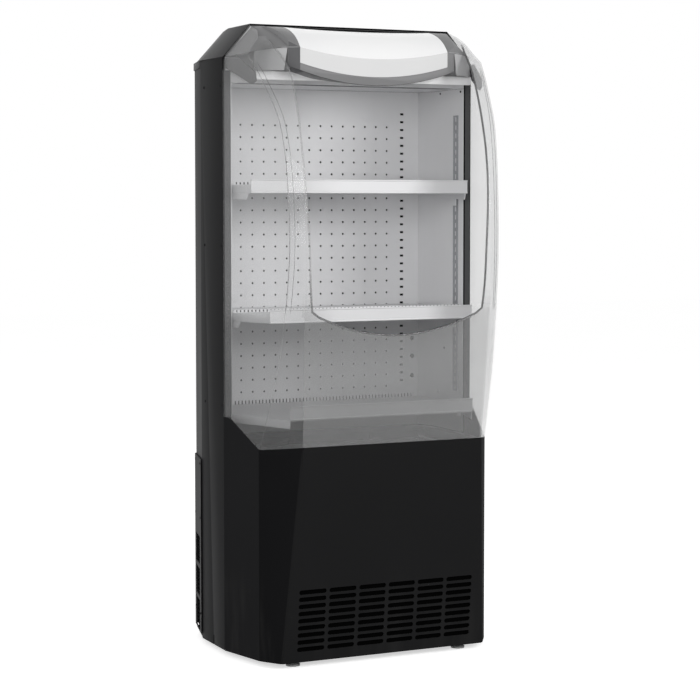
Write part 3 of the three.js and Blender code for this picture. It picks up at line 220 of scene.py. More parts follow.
class Shader(Tree):
    """A material's node tree, with its Principled surface."""

    def __init__(self, name: str) -> None:
        """Starts an empty node material of that name.

        Args:
            name: The material's name.
        """
        self.material = bpy.data.materials.new(name)
        self.material.use_nodes = True
        super().__init__(self.material.node_tree, "ShaderNodeOutputMaterial")
        self.surface = self.node("ShaderNodeBsdfPrincipled", {}, {})
        self.feed(self.output, self.surface)
        self.place = self.node("ShaderNodeTexCoord", {}, {}, "Object")

    def set(self, **values: Value) -> None:
        """Feeds the Principled surface; an underscore in a name stands for a space."""
        for name, value in values.items():
            self.feed(self.surface.socket.node.inputs[name.replace("_", " ")], value)

    def mix(self, factor: Value, first: Value, second: Value) -> Signal:
        """Mixes two colours by the share of the second, and returns the mixed one."""
        inputs = {0: factor, 6: first, 7: second}
        return self.node("ShaderNodeMix", {"data_type": "RGBA"}, inputs, 2)

    def noise(self, size: float, detail: float, stretch: Sequence[float] = (1, 1, 1)) -> Signal:
        """Noise on Object coordinates.

        Args:
            size: The size of its largest features, in millimetres.
            detail: The Noise node's detail.
            stretch: How many times longer the features are along each axis.

        Returns:
            The noise value, 0..1.
        """
        scale = tuple(1000.0 / size / part for part in stretch)
        place = self.node("ShaderNodeMapping", {}, {"Vector": self.place, "Scale": scale})
        inputs = {"Vector": place, "Scale": 1.0, "Detail": detail}
        return self.node("ShaderNodeTexNoise", {}, inputs, "Fac")

    def axis(self, name: str) -> Signal:
        """One Object coordinate, in millimetres."""
        return self.node("ShaderNodeSeparateXYZ", {}, {0: self.place}, name) * 1000.0

    def bump(self, height: Value, distance: float, strength: float) -> None:
        """Raises the surface, by a distance in millimetres where the height signal is 1."""
        inputs = {"Height": height, "Distance": distance / 1000.0, "Strength": strength}
        self.set(Normal=self.node("ShaderNodeBump", {}, inputs, "Normal"))


# ------------------------------------------------------------------ finishes


@dataclass(frozen=True)
class Finish:
    """A surface finish: a name, a colour and a gloss, dressed by each kind in its own way."""

    name: str
    colour: Colour
    roughness: float = 0.5

    def material(self) -> bpy.types.Material:
        """The finish's material, made the first time it is asked for.

        Returns:
            The material.
        """
        made = bpy.data.materials.get(f"{self.name}_finish")
        if made is None:
            shader = Shader(f"{self.name}_finish")
            shader.set(Base_Color=self.colour, Roughness=self.roughness)
            self.dress(shader)
            made = shader.material
        return made

    def dress(self, shader: Shader) -> None:
        """Adds the finish's own pattern to its shader."""

    def tone(self, share: float) -> Colour:
        """The colour made lighter or darker by a share."""
        return tuple(min(1.0, part * share) for part in self.colour)


@dataclass(frozen=True)
class PowderCoat(Finish):
    """Sprayed and baked steel: a fine orange peel, slow changes of tone, dust low down."""

    sheen: float = 0.3
    peel: float = 0.02
    drift: float = 0.12
    dust: float = 0.15

    def dress(self, shader: Shader) -> None:
        """Peel, tone, dust and faint vertical wipe marks.

        Args:
            shader: The finish's shader.
        """
        slow = shader.noise(320, 3)
        wipes = shader.noise(60, 4, (1, 1, 6))
        height = shader.axis("Z")
        low = 1 - height.ramp(0, 260)
        tone = shader.mix(slow, self.tone(1 - self.drift), self.tone(1 + self.drift))
        dusty = low * wipes.ramp(0.42, 0.7) * self.dust
        shader.set(
            Base_Color=shader.mix(dusty, tone, (0.19, 0.185, 0.175)),
            Roughness=(self.roughness - 0.05 + slow * 0.06 + wipes * 0.06 + dusty * 0.3).clamped(),
            Specular_IOR_Level=self.sheen,
        )
        shader.bump(shader.noise(2.6, 2), self.peel, 0.6)


@dataclass(frozen=True)
class Enamel(Finish):
    """Pale stove enamel inside the cold space: clean, with a soft bloom of cold air marks."""

    def dress(self, shader: Shader) -> None:
        """Slow tone, faint streaks and a fine peel.

        Args:
            shader: The finish's shader.
        """
        slow = shader.noise(240, 3)
        streaks = shader.noise(30, 3, (1, 1, 9))
        shader.set(
            Base_Color=shader.mix(slow * 0.6 + streaks * 0.4, self.tone(0.93), self.colour),
            Roughness=(self.roughness - 0.06 + streaks * 0.12).clamped(),
            Specular_IOR_Level=0.35,
        )
        shader.bump(shader.noise(2.2, 2), 0.012, 0.5)


@dataclass(frozen=True)
class Zinc(Finish):
    """Galvanised sheet with its spangle."""

    spangle: float = 9.0

    def dress(self, shader: Shader) -> None:
        """Crystal patches that differ in tone and gloss.

        Args:
            shader: The finish's shader.
        """
        inputs = {"Vector": shader.place, "Scale": (1000 / self.spangle,) * 3}
        place = shader.node("ShaderNodeMapping", {}, inputs)
        cell = shader.node("ShaderNodeTexVoronoi", {}, {"Vector": place, "Scale": 1.0}, "Color")
        grey = shader.node("ShaderNodeRGBToBW", {}, {0: cell})
        cloud = shader.noise(70, 3)
        shader.set(
            Base_Color=shader.mix(grey * 0.6 + cloud * 0.4, self.tone(0.72), self.colour),
            Roughness=(self.roughness - 0.1 + grey * 0.18 + cloud * 0.08).clamped(),
            Metallic=0.85,
        )
        shader.bump(cell, 0.01, 0.4)


@dataclass(frozen=True)
class Moulded(Finish):
    """Injection-moulded plastic with a fine spark grain."""

    sheen: float = 0.4
    grain: float = 0.03

    def dress(self, shader: Shader) -> None:
        """Grain and slow flow marks.

        Args:
            shader: The finish's shader.
        """
        flow = shader.noise(90, 2, (3, 1, 1))
        grain = shader.noise(0.9, 1)
        shader.set(
            Base_Color=shader.mix(flow * 0.7 + grain * 0.3, self.tone(0.9), self.colour),
            Roughness=(self.roughness - 0.05 + flow * 0.1).clamped(),
            Specular_IOR_Level=self.sheen,
        )
        shader.bump(grain, self.grain, 0.5)


@dataclass(frozen=True)
class ClearSheet(Finish):
    """Clear formed sheet: it passes most light, with a pale veil and faint wiping marks.

    The veil adds to the sheet's own region attribute; it is partly the sheet's haze and partly a
    painted reflection of the bright room, and it grows when the sheet is seen along its surface,
    painted reflection again. Where that attribute is high, as on the apron, the sheet takes a
    darker tone, painted shade. Shade is what soft light loses on its way through.
    """

    haze: float = 0.0
    # How much paler the sheet grows at grazing angles: painted reflection.
    edge_on: float = 0.45
    shade: float = 0.47
    # Where the region's value is high, as on the apron, the sheet takes a darker tone: painted
    # shade.
    painted_shade_from: Pair = (0.1, 0.26)
    painted_shade_tone: float = 0.525
    painted_shade_loss: float = 0.16

    def dress(self, shader: Shader) -> None:
        """Painted reflection by angle and a veil by region drive the alpha; painted shade darkens
        the apron; soft light loses more on its way.

        Args:
            shader: The finish's shader.
        """
        wiped = shader.noise(120, 4, (1, 1, 3))
        facing = shader.node("ShaderNodeLayerWeight", {}, {"Blend": 0.5}, "Facing")
        # The region's value and the base value set a pale veil: partly the sheet's haze, partly a
        # painted reflection of the bright room.
        region = shader.node("ShaderNodeAttribute", {"attribute_name": HAZE_AND_REFLECTION}, {}, "Fac")
        lost = shader.rays("Is Shadow Ray", "Is Diffuse Ray")
        # Where the region's value is high, as on the apron, the sheet takes a darker tone and loses
        # less soft light: painted shade.
        painted_shade = region.ramp(*self.painted_shade_from)
        # The sheet grows paler towards grazing angles: painted reflection of the bright room.
        clear = (self.haze + region) * (0.9 + wiped * 0.2) + (facing ** 3.5) * self.edge_on
        alpha = clear + lost * (self.shade - painted_shade * self.painted_shade_loss)
        pale = shader.mix(wiped, self.tone(0.97), self.colour)
        shader.set(
            Base_Color=shader.mix(painted_shade, pale, self.tone(self.painted_shade_tone)),
            Roughness=(self.roughness + wiped * 0.04).clamped(),
            Alpha=alpha.clamped(),
            Specular_IOR_Level=0.6,
        )


@dataclass(frozen=True)
class Opal(Finish):
    """Opal diffuser: white sheet that glows a little, more near its lamp."""

    glow: float = 0.12

    def dress(self, shader: Shader) -> None:
        """Glow that falls off from the middle of the lamp to its ends.

        Args:
            shader: The finish's shader.
        """
        along = shader.axis("X").unsigned().ramp(60, 215)
        cloud = shader.noise(50, 2)
        shader.set(
            Base_Color=shader.mix(cloud, self.tone(0.97), self.colour),
            Roughness=(self.roughness + cloud * 0.06).clamped(),
            Emission_Color=shader.mix(along * 0.5, WHITE, (0.8, 0.81, 0.84)),
            Emission_Strength=self.glow,
        )
        shader.bump(shader.noise(1.5, 1), 0.01, 0.3)


@dataclass(frozen=True)
class Finned(Finish):
    """A coil's face: thin aluminium fins, with the gaps between them painted dark as shade."""

    pitch: float = 2.6

    def dress(self, shader: Shader) -> None:
        """Fins across x, waved a little, with the gaps between them painted dark: painted shade
        inside the coil.

        Args:
            shader: The finish's shader.
        """
        across = shader.axis("X")
        wave = shader.noise(18, 1, (1, 1, 4))
        along = across / self.pitch + wave * 0.5
        # The gaps between fins are painted dark: painted shade inside the coil.
        shaded_gap = along.math("FRACT", along) > 0.62
        shader.set(
            Base_Color=shader.mix(shaded_gap, self.colour, self.tone(0.12)),
            Roughness=(self.roughness + shaded_gap * 0.3 + wave * 0.08).clamped(),
            Metallic=(0.9 - shaded_gap * 0.5).clamped(),
        )
        shader.bump(1 - shaded_gap, 0.4, 0.7)


@dataclass(frozen=True)
class BareMetal(Finish):
    """Bare or painted machine metal: copper tube, motor casing, compressor shell."""

    metallic: float = 0.9
    tarnish: Colour = (0.1, 0.06, 0.04)
    patches: float = 0.4

    def dress(self, shader: Shader) -> None:
        """Tarnish in soft patches and a fine drawn grain.

        Args:
            shader: The finish's shader.
        """
        patch = shader.noise(26, 4).ramp(0.45, 0.72) * self.patches
        grain = shader.noise(3, 2, (1, 1, 5))
        shader.set(
            Base_Color=shader.mix(patch, self.colour, self.tarnish),
            Roughness=(self.roughness + patch * 0.3 + grain * 0.06).clamped(),
            Metallic=(self.metallic - patch * 0.3).clamped(),
        )
        shader.bump(grain, 0.015, 0.4)


@dataclass(frozen=True)
class Glow(Finish):
    """The lamp tube: even light, whiter in the middle than at the ends."""

    strength: float = 2.0

    def dress(self, shader: Shader) -> None:
        """Ends a little warmer than the middle.

        Args:
            shader: The finish's shader.
        """
        ends = shader.axis("X").unsigned().ramp(150, 195)
        shader.set(
            Emission_Color=shader.mix(ends, WHITE, (0.75, 0.7, 0.6)),
            Emission_Strength=self.strength,
            Base_Color=shader.mix(ends, self.colour, (0.6, 0.6, 0.58)),
        )


BLACK_PANEL = PowderCoat("black_panel", (0.0108, 0.0108, 0.0115), 0.5, sheen=0.04, dust=0.04)
GREY_PANEL = PowderCoat("grey_panel", (0.033, 0.033, 0.0345), 0.48, sheen=0.06)
BLACK_STEEL = PowderCoat("black_steel", (0.0155, 0.0155, 0.016), 0.42, sheen=0.001, dust=0.03)
# Darker and lighter copies of the black steel for the lower cover: painted shade on its facets,
# painted light on its wings.
SHADED_BLACK_STEEL = PowderCoat("black_steel_painted_shade", (0.0105, 0.0105, 0.0112), 0.42, sheen=0.001)
LIT_BLACK_STEEL = PowderCoat("black_steel_painted_light", (0.0195, 0.0195, 0.0205), 0.42, sheen=0.001)
# A darker copy of the grey steel for the rear vent cover: painted shade.
SHADED_VENT_STEEL = PowderCoat("vent_steel_painted_shade", (0.022, 0.022, 0.023), 0.46, sheen=0.0135)
BLACK_RIM = PowderCoat("black_rim", (0.003, 0.003, 0.0032), 0.5, sheen=0.02, dust=0.0)
GREY_EDGE = PowderCoat("grey_edge", (0.092, 0.092, 0.094), 0.5, sheen=0.1, dust=0.0)
GREY_STEEL = PowderCoat("grey_steel", (0.06, 0.06, 0.063), 0.45, sheen=0.1)
WHITE_STEEL = Enamel("white_steel", (0.8, 0.8, 0.81), 0.42)
# A lighter copy of the white steel for the band under the canopy: painted light.
LIT_WHITE_STEEL = Enamel("white_steel_painted_light", (0.97, 0.97, 0.975), 0.42)
ZINC = Zinc("galvanised_steel", (0.5, 0.51, 0.53), 0.42)
GREY_PLASTIC = Moulded("grey_plastic", (0.2, 0.2, 0.203), 0.45, sheen=0.3)
# A darker copy of the grey plastic: painted shade on the housing's lower faces that turn to the
# left.
GREY_SHADE = Moulded("grey_shade", (0.11, 0.11, 0.114), 0.5, sheen=0.2)
# A lighter copy of the grey plastic for the canopy's upright cheeks: painted light.
LIT_CHEEK_GREY = Moulded("cheek_plastic", (0.44, 0.44, 0.445), 0.45, sheen=0.3)
# A lighter copy of the grey plastic: the painted highlight along the canopy's knee, and painted
# light on the air outlet against its shade.
LIT_GREY_PLASTIC = Moulded("grey_plastic_painted_light", (0.36, 0.36, 0.365), 0.45, sheen=0.3)
# A lighter grey for the feet: painted light in the shade under the cabinet.
LIT_FOOT_PLASTIC = Moulded("foot_plastic", (0.5, 0.5, 0.5), 0.5)
BLACK_PLASTIC = Moulded("black_plastic", (0.012, 0.012, 0.013), 0.5, sheen=0.25)
CONTROL_PLASTIC = Moulded("control_plastic", (0.11, 0.11, 0.115), 0.5)
STRIP_PLASTIC = Moulded("strip_plastic", (0.78, 0.78, 0.79), 0.3, sheen=0.5, grain=0.01)
# Near-black filter foam, whose tone also paints the shade seen through the grille's slots.
FILTER_AND_SHADE = Moulded("filter_foam_and_shade", (0.002, 0.002, 0.002), 0.9, sheen=0.0, grain=0.3)
# The tank's near-black tone is partly its own dark grey and partly painted shade in the lower part
# of the cabinet.
FOAM_TANK = Moulded("foam_tank", (0.02, 0.02, 0.021), 0.55)
# The lens glows from its own lamp; the upper face's stronger glow is painted light, and the upright
# lower face takes a darker, dimmer copy, painted shade.
OPAL = Opal("opal_plastic", (0.6, 0.6, 0.6), 0.35, glow=0.3)
SHADED_OPAL = Opal("opal_plastic_painted_shade", (0.54, 0.54, 0.54), 0.35, glow=0.05)
LAMP = Glow("lamp", (0.9, 0.9, 0.9), 0.4)
SHEET_COLOUR = (0.8, 0.805, 0.81)
CLEAR = ClearSheet("clear_plastic", SHEET_COLOUR, 0.06)
CLEAR_HIGH = ClearSheet("clear_plastic_high", SHEET_COLOUR, 0.06, shade=0.28)
CLEAR_DIM = ClearSheet("clear_plastic_dim", SHEET_COLOUR, 0.06, shade=0.62)
CLEAR_EDGE = ClearSheet("clear_plastic_edge", (0.16, 0.16, 0.165), 0.15, haze=0.45, edge_on=0.0,
                        shade=0.0)
# The opening's cut edge as a dark line whose strength is painted shade.
SHADED_RIM_EDGE = ClearSheet("clear_plastic_rim_painted_shade", (0.14, 0.14, 0.145), 0.15, haze=0.14, edge_on=0.0,
                      shade=0.0)
FINS = Finned("aluminium_fins", (0.62, 0.63, 0.65), 0.35)
DARK_FINS = Finned("dark_fins", (0.02, 0.02, 0.0205), 0.5)
MOTOR_METAL = BareMetal("motor_metal", (0.4, 0.4, 0.42), 0.4, tarnish=(0.16, 0.15, 0.14))
COMPRESSOR_IRON = BareMetal("compressor_iron", (0.012, 0.012, 0.013), 0.4, metallic=0.2,
                            tarnish=(0.05, 0.045, 0.04), patches=0.3)
COPPER = BareMetal("copper_tube", (0.72, 0.36, 0.22), 0.3, tarnish=(0.2, 0.09, 0.05))
SLOTS = {finish.name: finish for finish in (
    BLACK_PANEL, GREY_PANEL, BLACK_STEEL, GREY_STEEL, WHITE_STEEL, ZINC, GREY_PLASTIC,
    BLACK_PLASTIC, CONTROL_PLASTIC, STRIP_PLASTIC, OPAL, LAMP, CLEAR, FOAM_TANK, FINS, DARK_FINS,
    MOTOR_METAL, COMPRESSOR_IRON, COPPER)}


# ------------------------------------------------------------------ shapes


def lerp(low: float, high: float, share: float) -> float:
    """The value a share of the way from low to high."""
    return low + (high - low) * share


def curved(first: Vector, control: Vector, last: Vector, share: float) -> Vector:
    """A place on a quadratic curve between two points, bent towards a third."""
    return first * (1 - share) ** 2 + control * 2 * share * (1 - share) + last * share ** 2


def spaced(count: int, pitch: float) -> list[float]:
    """Evenly spaced places round 0."""
    return [(index - (count - 1) / 2) * pitch for index in range(count)]


def slot_outline(x: float, z: float, length: float, height: float) -> list[Pair]:
    """A long slot with round ends.

    Args:
        x: Its middle across.
        z: Its middle in height.
        length: Its whole length across.
        height: Its whole height.

    Returns:
        Its corners as (x, z), anticlockwise.
    """
    steps = 6
    radius = height / 2
    points = []
    for side in (1, -1):
        for step in range(steps + 1):
            angle = math.pi * (step / steps - 0.5) + (0 if side > 0 else math.pi)
            middle = x + side * (length / 2 - radius)
            points.append((middle + radius * math.cos(angle), z + radius * math.sin(angle)))
    return points


def ring_outline(x: float, z: float, radius: float, sides: int = 8) -> list[Pair]:
    """A round hole's corners as (x, z).

    Args:
        x: Its middle across.
        z: Its middle in height.
        radius: Its radius.
        sides: Its corners.

    Returns:
        The corners.
    """
    turn = 2 * math.pi / sides
    return [(x + radius * math.cos(turn * (i + 0.5)), z + radius * math.sin(turn * (i + 0.5)))
            for i in range(sides)]


def box_outline(x: float, z: float, width: float, height: float) -> list[Pair]:
    """A square-cornered hole's corners as (x, z)."""
    return [(x - width / 2, z - height / 2), (x + width / 2, z - height / 2),
            (x + width / 2, z + height / 2), (x - width / 2, z + height / 2)]


@dataclass(frozen=True)
class Bow:
    """A smooth edge line seen from the side, through (reach, height) points."""

    points: tuple[Pair, ...]

    def reach(self, height: float) -> float:
        """How far forward a smooth curve through the points stands at a height.

        Args:
            height: The height.

        Returns:
            The reach.
        """
        points = self.points
        held = min(max(height, points[0][1]), points[-1][1])
        index = next(i for i in range(1, len(points)) if points[i][1] >= held)
        (r1, z1), (r2, z2) = points[index - 1], points[index]
        span = z2 - z1
        pulls = []
        for place in (index - 1, index):
            low, high = points[max(place - 1, 0)], points[min(place + 1, len(points) - 1)]
            pulls.append((high[0] - low[0]) / (high[1] - low[1]) * span)
        share = (held - z1) / span
        square, cube = share ** 2, share ** 3
        return ((2 * cube - 3 * square + 1) * r1 + (cube - 2 * square + share) * pulls[0]
                + (3 * square - 2 * cube) * r2 + (cube - square) * pulls[1])


@dataclass(frozen=True)
class Datum:
    """Where the cabinet's own datum lies in the frame, in metres."""

    front: float
    bottom: float

    @classmethod
    def of_frame(cls) -> "Datum":
        """Reads the datum from the left side panel's lowest corner."""
        low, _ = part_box("side_panel_left")
        return cls(low.y, low.z)

    def matrix(self) -> Matrix:
        """Millimetres at the datum to metres in the frame."""
        return Matrix.Translation((0.0, self.front, self.bottom)) @ Matrix.Scale(0.001, 4)


DATUM = Datum.of_frame()


class Form:
    """A shape in the making: a bmesh in millimetres at the cabinet's datum."""

    def __init__(self) -> None:
        """Starts an empty shape."""
        self.bm = bmesh.new()

    @classmethod
    def of_node(cls, node: str, rounding: float = 0.0, segments: int = 2) -> "Form":
        """A merged copy of a CAD node, with its flat faces joined and its sharp edges rounded.

        Args:
            node: The node's name.
            rounding: The radius of its edges.
            segments: The segments of each rounding.

        Returns:
            The copy.
        """
        form = cls()
        form.bm.from_mesh(frame["nodes"][node].data)
        bmesh.ops.transform(form.bm, matrix=DATUM.matrix().inverted(), verts=form.bm.verts)
        bmesh.ops.remove_doubles(form.bm, verts=form.bm.verts, dist=0.002)
        bmesh.ops.dissolve_limit(form.bm, angle_limit=math.radians(0.4), verts=form.bm.verts,
                                 edges=form.bm.edges)
        if rounding:
            form.round(form.sharp(math.radians(25)), rounding, segments)
        return form

    def sharp(self, angle: float) -> list[bmesh.types.BMEdge]:
        """The edges whose two faces turn by more than an angle in radians."""
        return [edge for edge in self.bm.edges
                if edge.is_manifold and edge.calc_face_angle(0) > angle]

    def round(self, edges: Iterable[bmesh.types.BMEdge], width: float, segments: int = 2) -> None:
        """Rounds edges off.

        Args:
            edges: The edges.
            width: How far the rounding starts from each edge.
            segments: Its segments.
        """
        bmesh.ops.bevel(self.bm, geom=list(edges), offset=width, offset_type="OFFSET",
                        segments=segments, profile=0.5, affect="EDGES", clamp_overlap=True,
                        material=-1)

    def block(self, low: Sequence[float], high: Sequence[float]) -> None:
        """Adds a box between its lowest and highest corners.

        Args:
            low: Its lowest corner.
            high: Its highest corner.
        """
        made = bmesh.ops.create_cube(self.bm, size=1.0)["verts"]
        bmesh.ops.scale(self.bm, vec=Vector(high) - Vector(low), verts=made)
        bmesh.ops.translate(self.bm, vec=(Vector(high) + Vector(low)) / 2, verts=made)

    def dome(self, centre: Sequence[float], normal: Sequence[float], radius: float,
             height: float) -> None:
        """Adds a low round head, such as a rivet's.

        Args:
            centre: The middle of its foot.
            normal: The way it faces.
            radius: The radius of its foot.
            height: How far it stands out.
        """
        turn = Vector(normal).to_track_quat("Z", "Y").to_matrix().to_4x4()
        size = Matrix.Diagonal((radius, radius, height, 1))
        bmesh.ops.create_uvsphere(self.bm, u_segments=12, v_segments=6, radius=1.0,
                                  matrix=Matrix.Translation(Vector(centre)) @ turn @ size)

    def screw(self, centre: Sequence[float], normal: Sequence[float], radius: float,
              height: float) -> None:
        """Adds a pan-head screw with a twelve-sided recess.

        Args:
            centre: The middle of its seat.
            normal: The way it faces.
            radius: The radius of its head.
            height: The height of its head.
        """
        way, sunk, taper = Vector(normal).normalized(), 0.5, 0.72
        turn = way.to_track_quat("Z", "Y").to_matrix().to_4x4()
        place = Matrix.Translation(Vector(centre) + way * (height - sunk) / 2) @ turn
        made = bmesh.ops.create_cone(self.bm, cap_ends=True, segments=12, radius1=radius,
                                     radius2=radius * taper, depth=height + sunk,
                                     matrix=place)["verts"]
        cap = max({face for vert in made for face in vert.link_faces},
                  key=lambda face: face.calc_center_median().dot(way))
        bmesh.ops.inset_region(self.bm, faces=[cap], thickness=radius * 0.3, use_even_offset=True)
        bmesh.ops.translate(self.bm, vec=-way * height * 0.5, verts=list(cap.verts))

    def panel(self, corners: Sequence[Sequence[float]]) -> bmesh.types.BMFace:
        """Adds one flat face by its corners."""
        return self.bm.faces.new([self.bm.verts.new(corner) for corner in corners])

    def prism(self, corners: Sequence[Sequence[float]], push: Sequence[float]) -> None:
        """Adds a flat outline run out along a push.

        Args:
            corners: The outline's corners.
            push: How far and which way it runs.
        """
        face = self.panel(corners)
        made = bmesh.ops.extrude_face_region(self.bm, geom=[face], use_keep_orig=True)
        verts = [item for item in made["geom"] if isinstance(item, bmesh.types.BMVert)]
        bmesh.ops.translate(self.bm, vec=push, verts=verts)

    def skin(self, columns: int, rows: int,
             place: Callable[[float, float], Sequence[float]]) -> None:
        """Adds a grid of faces bent to a place for each (u, v) of 0..1.

        Args:
            columns: Its faces along u.
            rows: Its faces along v.
            place: The corner's place by (u, v).
        """
        made = bmesh.ops.create_grid(self.bm, x_segments=columns, y_segments=rows, size=0.5)
        for vert in made["verts"]:
            vert.co = Vector(place(vert.co.x + 0.5, vert.co.y + 0.5))

    def set_haze_and_reflection(self, haze: float) -> None:
        """Gives the faces made since the last call their own haze and painted reflection.

        Args:
            haze: The faces' haze.
        """
        layer = self.bm.faces.layers.float.get(HAZE_AND_REFLECTION) or self.bm.faces.layers.float.new(HAZE_AND_REFLECTION)
        for face in self.bm.faces:
            if face[layer] == 0.0:
                face[layer] = haze

    def bead(self, points: Sequence[Vector], radius: float, sides: int = 8) -> None:
        """Adds a round bead along a line that faces the front, closed at both ends.

        Args:
            points: The line.
            radius: The bead's radius.
            sides: Its sides.
        """
        last = len(points) - 1

        def place(u: float, v: float) -> Vector:
            """A corner of the bead, u round it and v along it.

            Args:
                u: The share of the way across.
                v: The share of the way along.

            Returns:
                The place.
            """
            index = round(v * last)
            along = (points[min(index + 1, last)] - points[max(index - 1, 0)]).normalized()
            across = along.cross(Vector((0, -1, 0))).normalized()
            out = across.cross(along)
            size = 0.0 if index in (0, last) else radius
            angle = 2 * math.pi * u
            return points[index] + (across * math.cos(angle) + out * math.sin(angle)) * size

        self.skin(sides, last, place)

    def pierced(self, outline: Sequence[Pair], holes: Iterable[Sequence[Pair]],
                place: Callable[[float, float], Sequence[float]]) -> None:
        """Adds a flat sheet with holes, then bends it to its place.

        Args:
            outline: The sheet's edge as (a, b).
            holes: The holes' edges as (a, b).
            place: The place of (a, b).
        """
        edges, verts = [], []
        for loop in (outline, *holes):
            ring = [self.bm.verts.new((a, b, 0.0)) for a, b in loop]
            edges += [self.bm.edges.new((ring[i - 1], ring[i])) for i in range(len(ring))]
            verts += ring
        bmesh.ops.triangle_fill(self.bm, use_beauty=True, use_dissolve=False, edges=edges,
                                normal=(0, 0, 1))
        for vert in verts:
            vert.co = Vector(place(vert.co.x, vert.co.y))

    def faced(self, outwards: Callable[[Vector], Sequence[float]]) -> None:
        """Turns each face of an open sheet the way that a rule gives for its middle.

        Args:
            outwards: The way outwards for a face's middle.
        """
        bmesh.ops.remove_doubles(self.bm, verts=self.bm.verts, dist=0.02)
        self.bm.normal_update()
        wrong = [face for face in self.bm.faces
                 if face.normal.dot(Vector(outwards(face.calc_center_median()))) < 0]
        bmesh.ops.reverse_faces(self.bm, faces=wrong)

    def walled(self, thickness: float, outwards: Callable[[Vector], Sequence[float]]) -> None:
        """Turns an open sheet's faces outwards and gives it a wall of some thickness behind."""
        self.faced(outwards)
        bmesh.ops.solidify(self.bm, geom=list(self.bm.faces), thickness=thickness)

    def paint(self, choose: Callable[[bmesh.types.BMFace], int]) -> None:
        """Gives each face the material index that a rule chooses for it."""
        for face in self.bm.faces:
            face.material_index = choose(face)

    def finish(self, name: str, finish: Finish, body: Body = Body.CABINET, *,
               replaces: Sequence[str] = (), recalculate: bool = True, smooth: float = 32.0,
               extra: Sequence[Finish] = (), slot: str = "") -> bpy.types.Object:
        """Makes the piece: its object, its finish and the body that it rides on.

        Args:
            name: The piece's name.
            finish: Its main finish, named after its material slot.
            body: The body it rides on.
            replaces: The CAD nodes it stands for.
            recalculate: Whether its faces are turned outwards here.
            smooth: The angle under which its faces shade as one, in degrees.
            extra: Further finishes, by material index.
            slot: Not used.

        Returns:
            The piece.
        """
        if recalculate:
            bmesh.ops.remove_doubles(self.bm, verts=self.bm.verts, dist=0.002)
            bmesh.ops.recalc_face_normals(self.bm, faces=self.bm.faces)
        bmesh.ops.transform(self.bm, matrix=DATUM.matrix(), verts=self.bm.verts)
        mesh = bpy.data.meshes.new(name)
        self.bm.to_mesh(mesh)
        self.bm.free()
        for part in (finish, *extra):
            mesh.materials.append(part.material())
        mesh.shade_smooth()
        mesh.set_sharp_from_angle(angle=math.radians(smooth))
        piece = bpy.data.objects.new(name, mesh)
        bpy.context.scene.collection.objects.link(piece)
        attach(piece, body.value)
        if replaces:
            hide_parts(*replaces)
        LOG.info("%s: %d faces", name, len(mesh.polygons))
        return piece


# ------------------------------------------------------------------ the cabinet's plan


@dataclass(frozen=True)
class Plan:
    """The cabinet's sides from above and the heights of its shell."""

    half: float = 336.5
    side_depth: float = 148.0
    band_depth: float = 124.0
    band_inset: float = 32.0
    height: float = 1510.0
    eaves: float = 1428.0
    slope: float = 70.0
    wall: float = 22.5
    back_depth: float = 213.0
    ceiling: float = 1369.0

    def lean(self, height: float) -> float:
        """How far the roof's slope has come in at a height."""
        return max(0.0, height - self.eaves) * self.slope / (self.height - self.eaves)

    def band_point(self, depth: float, proud: float = 0.0) -> Vector:
        """A place on the right band at a depth, standing proud of it."""
        share = (depth - self.side_depth) / self.band_depth
        return Vector((self.half - self.band_inset * share, depth, 0.0)) + self.band_normal * proud

    @property
    def band_normal(self) -> Vector:
        """The way the right band faces."""
        return Vector((self.band_depth, self.band_inset, 0.0)).normalized()


PLAN = Plan()


@dataclass(frozen=True)
class CoverShape:
    """The lower cover's folds."""

    fold_reach: float = 139.0
    fold_half: float = 303.0
    fold_top: float = 502.0
    wing_top: float = 569.0
    wing_flat: float = 22.0
    foot_reach: float = 190.7
    foot_half: float = 269.0
    top: float = 515.0
    top_reach: float = 241.0
    top_half: float = 236.0

    def front(self, height: float) -> Pair:
        """The fold between the front and the facet at a height, as (half width, reach).

        Args:
            height: The height.

        Returns:
            The half width and the reach.
        """
        rise = height / self.top
        return (lerp(self.foot_half, self.top_half, rise),
                lerp(self.foot_reach, self.top_reach, rise))

    def edge(self, reach: float) -> float:
        """The height of the wing's top edge at a reach.

        Args:
            reach: The reach.

        Returns:
            The edge's height.
        """
        if reach <= self.wing_flat:
            return self.wing_top
        share = (reach - self.wing_flat) / (self.fold_reach - self.wing_flat)
        return lerp(self.wing_top, self.fold_top, share)

    def wing_half(self, reach: float) -> float:
        """The wing's half width at a reach."""
        return PLAN.half - reach * (PLAN.half - self.fold_half) / self.fold_reach


COVER = CoverShape()


# ------------------------------------------------------------------ clear screens


